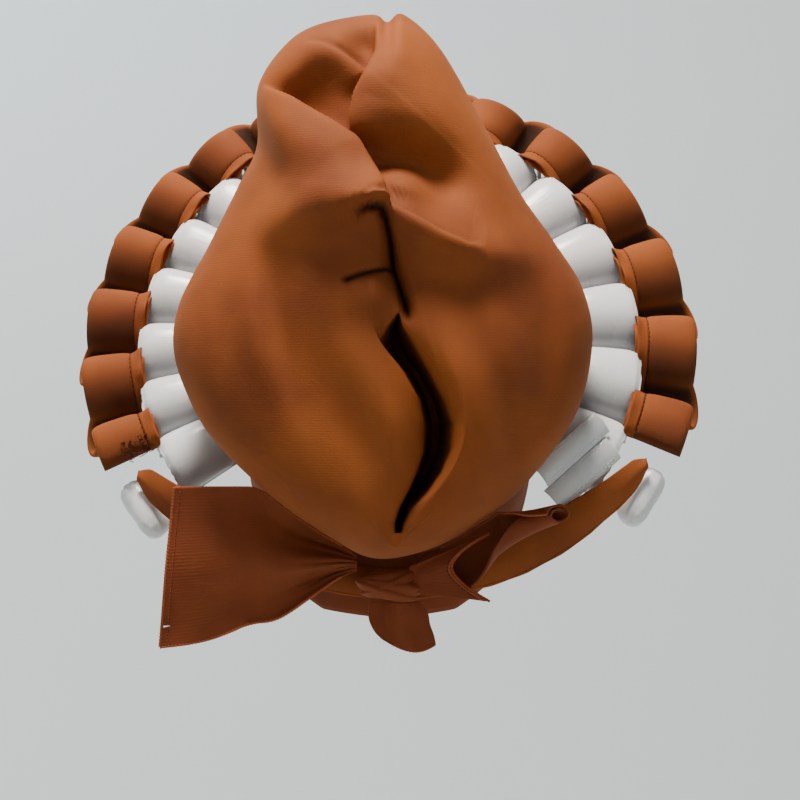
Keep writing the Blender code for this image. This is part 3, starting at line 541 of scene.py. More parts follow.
white_band = waving_band("white_padded_band", WHITE_BAND, SATIN)[0]
settle(white_band, "white_satin", "white_band")

# %% [markdown]
# The rust band's inner edge is a ruffled hem of two layers. It stands free of each crest and tucks
# in at each valley, with a row of stitches along its foot.

# %% Hem and its stitches
STITCH_PITCH, STITCH_LENGTH, STITCH_RADIUS = 0.0026, 0.0017, 0.00026
HEM_WIDE, HEM_RUFFLE, HEM_RISE = 0.0042, 0.0010, 0.0018


def stitch_row(name, path, finish, pitch=STITCH_PITCH, length=STITCH_LENGTH, radius=STITCH_RADIUS):
    """Short stitches along a path, as one mesh."""
    path = np.asarray(path, float)
    place = distances(path[:, None], 0)
    starts = np.arange(pitch, place[-1] - pitch, pitch)
    verts, faces = [], []
    for start in starts:
        ends = [np.array([np.interp(p, place, path[:, k]) for k in range(3)])
                for p in (start, start + length / 2, start + length)]
        run = unit(ends[2] - ends[0])
        side = unit(np.cross(run, RING_BACK))
        lift = np.cross(side, run)
        base = len(verts)
        for point, size in zip(ends, (0.5, 1.0, 0.5)):
            for k in range(6):
                turn = math.pi * k / 3
                round_way = side * math.cos(turn) + lift * math.sin(turn)
                verts.append(point + radius * size * round_way)
        for row in range(2):
            for k in range(6):
                after = (k + 1) % 6
                low = base + row * 6
                faces.append((low + k, low + after, low + 6 + after, low + 6 + k))
        faces.append(tuple(base + k for k in range(5, -1, -1)))
        faces.append(tuple(base + 12 + k for k in range(6)))
    mesh = bpy.data.meshes.new(name)
    mesh.from_pydata([tuple(v) for v in verts], [], faces)
    mesh.uv_layers.new(name="cut")
    mesh.shade_smooth()
    mesh.materials.append(finish)
    item = bpy.data.objects.new(name, mesh)
    bpy.context.scene.collection.objects.link(item)
    return item


back_side = rust_through * np.sign(rust_through @ RING_BACK)[:, None]
crest = smooth_step(rust_height, 0.0, 0.8)
steps = np.arange(len(rust_path))
ruffle = HEM_RUFFLE * (np.sin(steps * 0.83) + 0.6 * np.sin(steps * 0.37 + 1.0)) * crest
for layer, (drop, wide) in enumerate(((0.0, 1.0), (0.0013, 1.3))):
    share = np.linspace(0, 1, 8)[None, :, None]
    root = rust_path - rust_out * 0.40 * RUST_WIDTH + back_side * (0.62 * rust_puff - drop)[:, None]
    reach = (0.0016 + HEM_WIDE * wide * crest)[:, None, None] * share
    rise = (HEM_RISE * (1 - layer) * crest + ruffle * (-1) ** layer)[:, None, None] * share ** 1.5
    rows = root[:, None] - rust_out[:, None] * reach + back_side[:, None] * rise
    hem = grid_mesh(f"rust_hem_layer_{layer}", rows, RUST)
    apply_modifier(hem, "SOLIDIFY", thickness=0.0008, offset=0.0)
    hem.data.shade_smooth()
    settle(hem, "rust_crepe")
hem_line = rust_path - rust_out * 0.385 * RUST_WIDTH + back_side * (0.72 * rust_puff)[:, None]
rust_hem = stitch_row("rust_hem_stitches", hem_line, FRAY)
settle(rust_hem, "rust_crepe")
print("hem stitches:", len(rust_hem.data.vertices) // 18)

# %% [markdown]
# The short white strips cross between the two bands. They hide inside the crests and low in the
# valleys, where only a glint of white shows.

# %% White strips of the weave
WEFT_HIGH, WEFT_LOW, WEFT_TIP = 0.0050, -0.0035, 0.006
weft_grids = []
for number in range(2 * ROLLS - 1):
    white_near = number % 2 == 1
    white_height, rust_height_here = (WEFT_HIGH, WEFT_LOW) if white_near else (WEFT_LOW, WEFT_HIGH)
    white_shift, rust_shift = ((WHITE_BAND["near"], -RUST_BAND["far"]) if white_near
                               else (-WHITE_BAND["far"], RUST_BAND["near"]))
    outer = RUST_INNER + (WEFT_TIP if white_near else RUST_WIDTH - 0.002)
    radius = np.linspace(WHITE_INNER, outer, 40)
    cross = smooth_step(radius, RUST_INNER - 0.005, RUST_INNER + 0.005)
    height = white_height + (rust_height_here - white_height) * cross
    push = (white_shift * WHITE_BAND["lean"] * (1 - cross) + rust_shift * RUST_BAND["lean"] * cross)
    angle = np.full(40, float(roll_angle(number / 2)))
    centre = ring_point(angle, radius, height) + lean_up(angle, push, 1.0)
    along = unit(ring_point(angle + 0.01, radius) - ring_point(angle, radius))
    end = np.sqrt(np.clip((radius[-1] - radius) / 0.002, 0.05, 1.0))
    turn = np.linspace(0, 2 * np.pi, 12, endpoint=False)
    weft_grids.append(centre[:, None] + along[:, None] * (0.0016 * end[:, None]
                                                          * np.cos(turn))[..., None]
                      + RING_BACK * (0.0009 * end[:, None] * np.sin(turn))[..., None])
weft = grid_mesh("weft_01_padded", weft_grids[0], SATIN_FLAT, ring=True, ends=True)
for number, grid in enumerate(weft_grids[1:], start=2):
    other = grid_mesh(f"weft_{number:02d}_padded", grid, SATIN_FLAT, ring=True, ends=True)
    settle(other, "white_satin", f"weft_{number:02d}")
settle(weft, "white_satin", "weft_01")
print("white strips:", len(weft_grids))

# %% [markdown]
# ## The gathered pouch
# The pouch is one cloth. It leaves the cap, turns over the collar, swells back to its outline,
# and closes into a deep slit low in the middle. The outline and the slit are tables of shares of
# the pouch's half-width and height, traced from behind.

# %% Outline and slit
BAG_HALF_WIDTH, BAG_RISE, BAG_DROP, BAG_BACK = 0.101, 0.092, 0.177, 0.142
BAG_EDGE_TOP, BAG_EDGE_BOTTOM, BAG_CENTRE_DROP = 0.050, 0.100, 0.075
BAG_HEIGHT = BAG_RISE + BAG_DROP
HEAD_HALF_WIDTH, HEAD_HALF_LENGTH, CROWN_DEPTH = 0.078, 0.097, 0.105
NECK_HALF_WIDTH, NECK_BACK, CAP_DROP, CAP_WALL = 0.055, 0.066, 0.210, 0.002
NECK_NARROWING, NECK_SHORTENING = 1.5, 1.3      # powers of the narrowing to the neck
COLLAR_FRONT, COLLAR_BACK = 0.014, 0.016
LOOP_SHARE, LOOP_RISE, LOOP_GAP = 0.47, 0.012, 0.0006
SLIT_DEPTH = 0.045
LOW_FRONT, LOW_BACK = 0.004, 0.008      # its edge's front and back, out from the cap's nape
NAPE_FROM, NAPE_TO = math.radians(116), math.radians(150)
KNEE_SHARE = 0.45           # the wall turns this far from the collar to the outline

PLACE_COLUMNS = ("across", "up")
OUTLINE = (
    (-0.01, 0.985), (0.07, 1.00), (0.26, 0.93), (0.49, 0.77), (0.64, 0.66), (0.80, 0.57),
    (0.94, 0.48), (0.98, 0.38), (0.89, 0.25), (0.65, 0.13), (0.45, 0.07), (0.22, 0.02),
    (-0.06, 0.00), (-0.29, 0.04), (-0.56, 0.11), (-0.84, 0.21), (-0.98, 0.30), (-1.04, 0.38),
    (-1.01, 0.46), (-0.88, 0.56), (-0.73, 0.68), (-0.65, 0.75), (-0.65, 0.86), (-0.52, 0.94),
    (-0.36, 0.98), (-0.09, 1.00),
)
SLIT_COLUMNS = ("up", "left", "right")
SLIT = (
    (0.425, 0.045, 0.050), (0.403, 0.000, 0.065), (0.379, -0.036, 0.104), (0.356, -0.018, 0.140),
    (0.327, 0.070, 0.183), (0.280, 0.142, 0.246), (0.239, 0.163, 0.286), (0.192, 0.158, 0.277),
    (0.155, 0.125, 0.237), (0.124, 0.088, 0.179), (0.098, 0.052, 0.107), (0.071, 0.030, 0.071),
    (0.032, 0.036, 0.044),
)


def bag_place(across, up):
    return np.array([across * BAG_HALF_WIDTH, up * BAG_HEIGHT - BAG_DROP])


def round_outline(count):
    """Even steps round the outline, clockwise from its top, and the angle of each."""
    corners = np.array([bag_place(row["across"], row["up"])
                        for row in read_table(PLACE_COLUMNS, OUTLINE)])
    rows, dense = len(corners), []
    for index in range(rows):
        before, start, end, after = (corners[(index + k - 1) % rows] for k in range(4))
        for t in np.arange(12) / 12:
            dense.append(0.5 * (2 * start + (end - before) * t
                                + (2 * before - 5 * start + 4 * end - after) * t * t
                                + (3 * start - before - 3 * end + after) * t ** 3))
    dense = np.array(dense + dense[:1])
    length = np.concatenate([[0], np.cumsum(np.linalg.norm(np.diff(dense, axis=0), axis=1))])
    wanted = np.linspace(0, length[-1], count, endpoint=False)
    points = np.stack([np.interp(wanted, length, dense[:, axis]) for axis in (0, 1)], axis=1)
    return points, np.arctan2(points[:, 0], points[:, 1] + BAG_CENTRE_DROP)


def round_slit(turns):
    """The slit's edge for each column: down its right side, then up its left side."""
    rows = read_table(SLIT_COLUMNS, SLIT)
    ups = np.array([row["up"] for row in rows])[::-1]
    left = np.array([row["left"] for row in rows])[::-1]
    right = np.array([row["right"] for row in rows])[::-1]
    up = (ups[0] + ups[-1]) / 2 + (ups[-1] - ups[0]) / 2 * np.cos(turns)
    side = np.where(turns < np.pi, np.interp(up, ups, right), np.interp(up, ups, left))
    middle = (np.interp(up, ups, right) + np.interp(up, ups, left)) / 2
    return (np.stack([side * BAG_HALF_WIDTH, up * BAG_HEIGHT - BAG_DROP], axis=1),
            np.stack([middle * BAG_HALF_WIDTH, up * BAG_HEIGHT - BAG_DROP], axis=1))


# %% [markdown]
# Folds are lines over the back of the pouch. A ridge lifts the cloth, a pleat is a ridge that
# fades to its ends, a crease cuts a sharp valley, and a lap lifts one side of its line over the
# other, so that it casts a shadow. Creases and the cloth under each lap also get a painted shade.

# %% Folds
FOLD_COLUMNS = ("kind", "reach", "lift", "low", "under", "line")
# kind: ridge, pleat or crease, or lap with its front side left or right of the way the line runs.
# reach, lift, low and under in millimetres; line as across and up shares.
FOLDS = (
    # the right lobe over the hollow, from the pouch's top
    ("lap_left", 14.0, 8.0, 7.0, 5.0, ((-0.067, 0.985), (-0.055, 0.926), (-0.052, 0.894),
                                        (-0.090, 0.858), (-0.149, 0.813), (-0.165, 0.772),
                                        (-0.150, 0.715))),
    ("pleat", 9.0, -18.0, 0, 0, ((-0.20, 0.99), (-0.135, 0.925), (-0.075, 0.860))),
    # the rim over the hollow, and the hollow
    ("lap_right", 9.0, 4.0, 4.0, 4.0, ((-0.420, 0.928), (-0.301, 0.915), (-0.228, 0.899),
                                        (-0.151, 0.876), (-0.080, 0.852))),
    ("ridge", 19.0, -22.0, 0, 0, ((-0.440, 0.838), (-0.300, 0.825), (-0.200, 0.775))),
    # the left flap
    ("lap_right", 28.0, 11.0, 10.0, 8.0, ((-0.700, 0.870), (-0.652, 0.860), (-0.536, 0.824),
                                           (-0.421, 0.792), (-0.327, 0.768), (-0.233, 0.744),
                                           (-0.157, 0.723), (-0.086, 0.675), (-0.045, 0.645),
                                           (-0.009, 0.612), (0.010, 0.590))),
    # the right hollow and the bulge under it
    ("ridge", 15.0, -20.0, 0, 0, ((-0.090, 0.705), (0.040, 0.700), (0.150, 0.682),
                                  (0.300, 0.635))),
    ("pleat", 7.0, 12.0, 0, 0, ((-0.080, 0.640), (0.030, 0.656), (0.090, 0.650), (0.180, 0.620))),
    # the roll across the middle
    ("ridge", 13.0, 8.0, 0, 0, ((-0.520, 0.560), (-0.500, 0.596), (-0.427, 0.612),
                                (-0.271, 0.616), (-0.090, 0.612), (0.040, 0.588), (0.143, 0.570),
                                (0.238, 0.550), (0.366, 0.530), (0.497, 0.524), (0.600, 0.535))),
    ("lap_right", 9.0, 4.0, 12.0, 3.0, ((-0.120, 0.628), (-0.050, 0.622), (0.000, 0.611),
                                         (0.050, 0.600), (0.143, 0.582), (0.238, 0.561),
                                         (0.366, 0.541), (0.450, 0.540))),
    # the hooked crease down to the slit, and the short one beside it
    ("crease", 1.9, -12.0, 0, 0, ((-0.140, 0.582), (-0.125, 0.596), (-0.090, 0.602),
                                  (-0.041, 0.600), (-0.012, 0.584), (0.010, 0.550),
                                  (0.022, 0.503), (0.045, 0.475), (0.071, 0.446), (0.100, 0.408))),
    ("pleat", 7.0, -6.0, 0, 0, ((-0.03, 0.590), (0.01, 0.540), (0.035, 0.490), (0.085, 0.440),
                                (0.12, 0.400))),
    ("crease", 1.5, -4.0, 0, 0, ((-0.215, 0.478), (-0.135, 0.489), (-0.067, 0.495),
                                 (-0.010, 0.500), (0.030, 0.494))),
    ("pleat", 10.0, 5.0, 0, 0, ((-0.200, 0.450), (-0.060, 0.462), (0.020, 0.445))),
    # the two lips of the slit
    ("pleat", 15.0, 10.0, 0, 0, ((-0.120, 0.430), (-0.150, 0.365), (-0.085, 0.310),
                                 (-0.010, 0.255), (0.020, 0.200), (-0.010, 0.130),
                                 (-0.060, 0.070))),
    ("pleat", 17.0, 11.0, 0, 0, ((0.150, 0.450), (0.280, 0.370), (0.390, 0.300), (0.440, 0.235),
                                 (0.400, 0.160), (0.300, 0.090))),
    # soft pleats on the left and on the right
    ("pleat", 9.0, -4.0, 0, 0, ((-0.500, 0.600), (-0.530, 0.520), (-0.520, 0.420), (-0.440, 0.310),
                                (-0.340, 0.220))),
    ("pleat", 10.0, 4.0, 0, 0, ((-0.620, 0.580), (-0.640, 0.480), (-0.600, 0.380),
                               (-0.480, 0.270))),
    ("pleat", 12.0, -5.0, 0, 0, ((-0.400, 0.420), (-0.240, 0.300), (-0.110, 0.200),
                                 (-0.020, 0.100))),
    ("pleat", 10.0, -4.0, 0, 0, ((0.640, 0.540), (0.717, 0.430), (0.730, 0.320), (0.640, 0.190))),
    ("pleat", 9.0, -3.0, 0, 0, ((0.480, 0.360), (0.541, 0.250), (0.560, 0.140))),
    ("pleat", 10.0, 3.0, 0, 0, ((0.380, 0.470), (0.500, 0.400), (0.600, 0.280))),
)
LAP_SLIDE = 0.42            # how far a lap slides over what it covers, as a share of its lift


def fold_cloth(flat):
    """How far the folds move cloth out and aside, and how much painted shade they lay on it, at
    flat places.
    """
    lift, painted_fold_shade = np.zeros(len(flat)), np.zeros(len(flat))
    slide = np.zeros_like(flat)
    for fold in read_table(FOLD_COLUMNS, FOLDS):
        line = np.array([bag_place(*point) for point in fold["line"]])
        place = np.concatenate([[0], np.cumsum(np.linalg.norm(np.diff(line, axis=0), axis=1))])
        even = np.linspace(0, place[-1], 60)
        line = np.stack([np.interp(even, place, line[:, k]) for k in (0, 1)], axis=1)
        line = (line + np.vstack([line[:1], line[:-1]]) + np.vstack([line[1:], line[-1:]])) / 3
        run = unit(np.gradient(line, axis=0))
        away = flat[:, None, :] - line[None]
        nearest = (away ** 2).sum(axis=2).argmin(axis=1)
        aside = away[np.arange(len(flat)), nearest]
        run = run[nearest]
        distance = np.linalg.norm(aside, axis=1)
        signed = run[:, 0] * aside[:, 1] - run[:, 1] * aside[:, 0]
        end = nearest / 59
        taper = smooth_step(end, -0.02, 0.16) * (1 - smooth_step(end, 0.86, 1.02))
        reach, height = fold["reach"] / 1000, fold["lift"] / 1000
        if fold["kind"] in ("ridge", "pleat"):
            weight = np.ones(60) if fold["kind"] == "ridge" else np.sin(np.linspace(0, np.pi, 60))
            near = np.exp(-(away ** 2).sum(axis=2) / reach ** 2)
            lift += near @ weight * height * place[-1] / 59 / (reach * math.sqrt(math.pi))
        elif fold["kind"] == "crease":
            lift += height * taper * np.exp(-np.abs(distance / reach) ** 1.3)
            # A thin painted shade along the crease.
            painted_fold_shade += taper * np.exp(-(distance / 0.0011) ** 2)
        else:
            front = signed * (1 if fold["kind"] == "lap_left" else -1)
            over = 0.5 * (1 + np.tanh(front / 0.0009))
            swell = np.exp(-(front / reach) ** 2) * (1 - 0.35 * np.exp(-np.abs(front) / 0.0022))
            low = np.exp(-(front / (fold["low"] / 1000)) ** 2)
            lift += taper * (over * height * swell - (1 - over) * fold["under"] / 1000 * low)
            way = np.stack([-run[:, 1], run[:, 0]], axis=1)
            way = way * (-1 if fold["kind"] == "lap_left" else 1)
            amount = taper * height * LAP_SLIDE * np.exp(-(front / 0.005) ** 2)
            slide += way * (amount * over)[:, None]
            # A painted shadow on the cloth just under the lap.
            painted_fold_shade += 0.45 * taper * (1 - over) * np.exp(-(front / 0.0022) ** 2)
    return lift, slide, painted_fold_shade


# %% [markdown]
# The rings of the pouch run from the cap, over the collar, round the outline and into the slit.

# %% Pouch
BAG_COLUMNS, WALL_RINGS, BACK_RINGS, SLIT_RINGS = 500, 14, 158, 14


def cap_level(level, extra=0.0):
    """Half-width and half-length of the cap's inside at a level, grown by extra."""
    if level >= -CROWN_DEPTH:
        share = math.sqrt(max(0.0, 1 - ((level + CROWN_DEPTH) / (CROWN_DEPTH + extra)) ** 2))
        return (HEAD_HALF_WIDTH + extra) * share, (HEAD_HALF_LENGTH + extra) * share
    down = (-CROWN_DEPTH - level) / (CAP_DROP - CROWN_DEPTH)
    return (HEAD_HALF_WIDTH + (NECK_HALF_WIDTH - HEAD_HALF_WIDTH) * down ** NECK_NARROWING + extra,
            HEAD_HALF_LENGTH + (NECK_BACK - HEAD_HALF_LENGTH) * down ** NECK_SHORTENING + extra)


def reach_cap(start, direction, extra):
    """Distance from a point inside the cap to its surface grown by extra."""
    low, high = 0.0, 0.3
    for _ in range(30):
        middle = (low + high) / 2
        point = start + direction * middle
        width, length = cap_level(point[2], extra)
        inside = width > 0 and (point[0] / width) ** 2 + (point[1] / length) ** 2 < 1
        low, high = (middle, high) if inside else (low, middle)
    return high


def cap_loop(angles):
    """Where the pouch meets the cap, and the way out from the loop's middle."""
    top = np.array([0.0, LOOP_SHARE * HEAD_HALF_LENGTH,
                    -CROWN_DEPTH * (1 - math.sqrt(1 - LOOP_SHARE ** 2))])
    nape_level = -(BAG_DROP - LOOP_RISE)
    nape = np.array([0.0, -cap_level(nape_level)[1], nape_level])
    centre, upward = (top + nape) / 2, unit(top - nape)
    ways = (RING_ACROSS * np.sin(angles)[:, None] + upward * np.cos(angles)[:, None])
    reach = np.array([reach_cap(centre, way, CAP_WALL) + LOOP_GAP + 0.0004 for way in ways])
    return centre + ways * reach[:, None], ways


def rounder(loop, blur):
    """A closed loop of points with its sharp turns smoothed away."""
    waves = np.fft.fftfreq(len(loop), 1 / len(loop))[:, None]
    return np.fft.ifft(np.fft.fft(loop, axis=0) * np.exp(-(waves * blur) ** 2 / 2), axis=0).real


def pouch_rings():
    outline, angles = round_outline(BAG_COLUMNS)
    loop, outward = cap_loop(angles)
    low = smooth_step(np.abs(angles), NAPE_FROM, NAPE_TO)[:, None]
    front = ring_point(angles, COLLAR_RADIUS, -COLLAR_FRONT) * (1 - low) \
        + (loop + outward * LOW_FRONT) * low
    rear = ring_point(angles, COLLAR_RADIUS, COLLAR_BACK) * (1 - low) \
        + (loop + outward * LOW_BACK) * low
    up = (outline[:, 1] + BAG_DROP) / BAG_HEIGHT
    edge_depth = -(BAG_EDGE_BOTTOM + (BAG_EDGE_TOP - BAG_EDGE_BOTTOM) * up)
    edge = np.stack([outline[:, 0], edge_depth, outline[:, 1]], axis=1)
    knee = edge.copy()
    knee[:, 1] = rear[:, 1] * (1 - KNEE_SHARE) + edge_depth * KNEE_SHARE
    rings = [loop + (front - loop) * t for t in (0.0, 0.25, 0.5, 0.75)]
    rings += [front + (rear - front) * t for t in (0.0, 0.25, 0.5, 0.75)]
    for t in np.linspace(0, 1, WALL_RINGS, endpoint=False):
        rings.append((1 - t) ** 2 * rear + 2 * t * (1 - t) * knee + t * t * edge)
    turns = 2 * np.pi * np.arange(BAG_COLUMNS) / BAG_COLUMNS
    slit, middle = round_slit(turns)
    painted_shades = [np.zeros(BAG_COLUMNS)] * len(rings)
    for bend in np.linspace(0, math.pi / 2, BACK_RINGS):
        out = math.cos(bend)
        round_line = rounder(outline, 0.30 * float(smooth_step(1 - out, 0.05, 0.75)))
        round_mouth = rounder(slit, 0.60 * float(smooth_step(out, 0.0, 0.30)))
        flat = round_mouth + (round_line - round_mouth) * out
        depth = edge_depth + (-BAG_BACK - edge_depth) * math.sin(bend) ** 0.9
        lift, slide, painted_fold_shade = fold_cloth(flat)
        fade = float(smooth_step(1 - out, 0.0, 0.22))
        lip = np.sin(turns) ** 2 * 0.010 * (1 - np.sqrt(1 - (1 - min(1.0, out / 0.13)) ** 2))
        flat = flat + slide * fade
        rings.append(np.stack([flat[:, 0], depth - lift * fade + lip, flat[:, 1]], axis=1))
        # The folds' painted shade, faded in away from the outline.
        painted_shades.append(painted_fold_shade * fade)
    last = rings[-1]
    for t in np.linspace(0, 1, SLIT_RINGS + 1)[1:]:
        inner = last.copy()
        inner[:, 0] += (middle[:, 0] - last[:, 0]) * 0.75 * t ** 1.5
        inner[:, 1] += SLIT_DEPTH * t * (0.35 + 0.65 * np.sin(turns) ** 2)
        rings.append(inner)
        # The slit's inside gets a painted shade, darker the deeper it runs.
        painted_shades.append(np.full(BAG_COLUMNS, t))
    return rings, painted_shades


rings, painted_shades = pouch_rings()
back_start = 8 + WALL_RINGS
flat_cut = np.array([[(p[0], p[2]) for p in ring] for ring in rings])
for index in range(back_start):          # the hidden wall runs on outside the back's flat cut
    out = 1 + (back_start - index) * 0.03
    flat_cut[index] = flat_cut[back_start] * out
pouch = grid_mesh("gathered_pouch", np.array(rings), RUST, ring=True, cut=flat_cut)
face_outwards(pouch, (0, -0.06, -0.05))
# Painted shade in the creases, under the laps and down into the slit.
store_shade(pouch, np.concatenate(painted_shades))
settle(pouch, "rust_crepe", "crown_bag")
print("pouch cloth m2:", round(cloth_area(pouch), 4), "faces:", len(pouch.data.polygons))

# %% [markdown]
# ## The fitted cap
# The cap is stretched over the head. Its nape panel shows under the pouch, with a turned hem.

# %% Cap
HEM_COLUMNS = ("degrees", "drop")
HEM = ((0, 1.0), (35, 0.985), (60, 0.92), (90, 0.68), (120, 0.42), (145, 0.28), (165, 0.225),
       (180, 0.215))
CAP_COLUMNS, CAP_RINGS = 180, 70
HEM_DEPTH = 0.007


def cap_grid():
    rows = read_table(HEM_COLUMNS, HEM)
    degrees = [row["degrees"] for row in rows]
    drops = [row["drop"] for row in rows]
    grid = []
    for ring in range(1, CAP_RINGS + 1):
        line = []
        for col in range(CAP_COLUMNS):
            turn = 2 * math.pi * col / CAP_COLUMNS
            from_nape = math.degrees(abs((turn + math.pi) % (2 * math.pi) - math.pi))
            drop = CAP_DROP * float(np.interp(from_nape, degrees, drops))
            if drop <= CROWN_DEPTH:
                end = math.acos(1 - drop / CROWN_DEPTH) / (math.pi / 2)
            else:
                end = 1 + (drop - CROWN_DEPTH) / (CAP_DROP - CROWN_DEPTH)
            step = end * ring / CAP_RINGS
            if step <= 1:
                level = -CROWN_DEPTH * (1 - math.cos(step * math.pi / 2))
            else:
                level = -CROWN_DEPTH - (step - 1) * (CAP_DROP - CROWN_DEPTH)
            to_hem = (end - step) * 0.105
            hem = 0.0005 * (1 - smooth_step(to_hem, HEM_DEPTH - 0.001, HEM_DEPTH))
            groove = 0.0006 * math.exp(-((to_hem - HEM_DEPTH - 0.0008) / 0.0009) ** 2)
            width, length = cap_level(level, 0.0003 + float(hem) - groove)
            line.append((width * math.sin(turn), -length * math.cos(turn), level))
        grid.append(line)
    return np.array(grid)


cap_points = cap_grid()
cap = grid_mesh("fitted_cap", cap_points, RUST_TIE, ring=True)
cap_mesh = bmesh.new()
cap_mesh.from_mesh(cap.data)
rim = [edge for edge in cap_mesh.edges
       if edge.is_boundary and all(vert.co.z > -0.02 for vert in edge.verts)]
bmesh.ops.edgeloop_fill(cap_mesh, edges=rim)
cap_mesh.to_mesh(cap.data)
cap_mesh.free()
face_outwards(cap, (0, 0, -0.1))
print("cap cloth m2:", round(cloth_area(cap), 4))
apply_modifier(cap, "SOLIDIFY", thickness=CAP_WALL - 0.0004, offset=1.0)
cap.data.shade_smooth()
settle(cap, "rust_crepe", "inner_cap")

# %% [markdown]
# ## The tie at the nape
# Two flat straps run down from the rim's ends, meet behind the pouch's foot and are knotted. The
# knot leaves a wide flat end on the left, a rolled end on the right and a short end below.

# %% Tie sizes
STRAP_WIDTH, STRAP_THICKNESS, STRAP_RING = 0.016, 0.0028, 0.150
STRAP_SEAT, RIM_THICKNESS = 0.0005, 0.0088      # strap tucked in beside the rim's end
KNOT_HALF_WIDTH, KNOT_HALF_HEIGHT, KNOT_HALF_DEPTH = 0.0125, 0.0110, 0.0105
TIE_GAP, KNOT_GAP = 0.0006, 0.001
knot_level = -(BAG_DROP + KNOT_HALF_HEIGHT + TIE_GAP + KNOT_GAP)
knot_depth = cap_level(knot_level + KNOT_HALF_HEIGHT)[1] + CAP_WALL + 2 * TIE_GAP \
    + STRAP_THICKNESS + KNOT_HALF_DEPTH
KNOT = np.array([-0.002, -knot_depth, knot_level])

END_CLEARANCE = 0.0017      # ends hang this far under the pouch


def under_bag(across):
    """Level just under the pouch's outline at distances across."""
    points, _ = round_outline(400)
    lower = points[points[:, 1] < -BAG_CENTRE_DROP]
    lower = lower[lower[:, 0].argsort()]
    return np.interp(across, lower[:, 0], lower[:, 1]) - END_CLEARANCE


def smooth_rows(columns, rows, count):
    """A table's columns at even steps of its first column, on smooth curves between its rows."""
    rows = np.array(rows, float)
    want = np.linspace(rows[0, 0], rows[-1, 0], count)
    out = {columns[0]: want}
    slopes = np.gradient(rows[:, 1:], rows[:, 0], axis=0)
    index = np.clip(np.searchsorted(rows[:, 0], want, side="right") - 1, 0, len(rows) - 2)
    gap = rows[index + 1, 0] - rows[index, 0]
    t = (want - rows[index, 0]) / gap
    for k, column in enumerate(columns[1:], start=1):
        a, b = rows[index, k], rows[index + 1, k]
        m, n = slopes[index, k - 1] * gap, slopes[index + 1, k - 1] * gap
        out[column] = ((2 * t ** 3 - 3 * t ** 2 + 1) * a + (t ** 3 - 2 * t ** 2 + t) * m
                       + (3 * t ** 2 - 2 * t ** 3) * b + (t ** 3 - t ** 2) * n)
    return out


def cloth_strip(name, grid, finish, thickness):
    """A closed sheet of even thickness with rounded edges, from a grid of its middle."""
    item = grid_mesh(name, grid, finish)
    area = cloth_area(item)
    apply_modifier(item, "SOLIDIFY", thickness=thickness, offset=0.0, use_even_offset=False)
    item.data.shade_smooth()
    return item, area


def edge_thread(name, path, finish=RUST_EDGE, radius=0.0008, pitch=0.0016):
    """Overlock stitching round a cloth's edge: a thin tube with a small regular waist."""
    path = np.asarray(path, float)
    place = distances(path[:, None], 0)
    even = np.arange(0, place[-1], pitch / 4)
    path = np.stack([np.interp(even, place, path[:, k]) for k in range(3)], axis=1)
    size = radius * (1 + 0.18 * np.sin(2 * np.pi * even / pitch))
    return tube(name, path, size, finish, sides=7, up=(0.0, 1.0, 0.0))


# %% Straps
STRAP_PLACES = (0.0, 0.10, 0.30, 0.50, 0.75, 1.0)      # shares of a strap's length
STRAP_WIDTHS = (0.90, 1.15, 1.42, 1.40, 1.10, 0.90)    # its width there, as shares


def strap(word, roll, side, sag):
    past = RIM_THICKNESS / 2 + STRAP_THICKNESS / 2 - STRAP_SEAT
    angle = float(roll_angle(roll)) + side * past / STRAP_RING
    stand = STRAP_WIDTH / 2 * math.sin(LEAN) + STRAP_THICKNESS / 2 + TIE_GAP
    start = ring_point(angle, STRAP_RING, stand)
    depth = KNOT[1] + KNOT_HALF_DEPTH + SEAT_GAP + STRAP_THICKNESS / 2
    end = np.array([KNOT[0] + side * 0.002, depth, KNOT[2] - 0.002])
    t = np.linspace(0, 1, 90)[:, None]
    centre = start + (end - start) * t + np.array([0.0, -0.008, -sag]) * 4 * t * (1 - t)
    share = np.linspace(1, -1, 21)[None, :, None]
    half = np.array([0.0, 0.0, STRAP_WIDTH / 2])
    round_off = (np.interp(t, STRAP_PLACES, STRAP_WIDTHS)
                 * np.sqrt(np.clip(t / 0.06, 0.10, 1.0)))[:, None]
    bow = np.array([0.0, -1.0, 0.0]) * 0.0022 * np.cos(np.pi * share / 2)
    ripple = np.array([0.0, 1.0, 0.0]) * 0.0006 * np.sin(t * 21 + 1)[:, None] * share
    grid = centre[:, None] + half * share * round_off + bow + ripple
    item, area = cloth_strip("rust_strap_" + word, grid, RUST, STRAP_THICKNESS - 0.0012)
    settle(item, "rust_crepe", "strap_" + word)
    seam = stitch_row(f"strap_{word}_stitches",
                      grid[2:-2, 2] + np.array([0.0, -STRAP_THICKNESS / 2 + 0.0007, 0.0]),
                      RUST_EDGE)
    settle(seam, "rust_crepe")
    fold = edge_thread(f"strap_{word}_fold", grid[1:-1, -1] + np.array([0, -0.0003, 0.0004]), RUST,
                       0.0010, 0.02)
    settle(fold, "rust_crepe")
    return angle


angle_left = strap("left", -RUST_TAIL, -1, 0.009)
angle_right = strap("right", ROLLS - 1 + RUST_TAIL, 1, 0.014)

# %% [markdown]
# Outside each end of the rim the white band's last length is a loose puffed roll.

# %% White end rolls
END_ROLL_RADIUS, END_ROLL_LENGTH, END_ROLL_RING, END_ROLL_LIFT = 0.0085, 0.026, 0.154, 0.0016
ROLL_TUCK = -0.004          # how far it starts back under the strap
ROLL_COLUMNS = ("along", "size")
END_ROLL = ((0.0, 0.30), (0.03, 0.62), (0.10, 0.86), (0.22, 0.97), (0.40, 1.0), (0.62, 0.98),
            (0.80, 0.90), (0.92, 0.70), (0.98, 0.42), (1.0, 0.20))


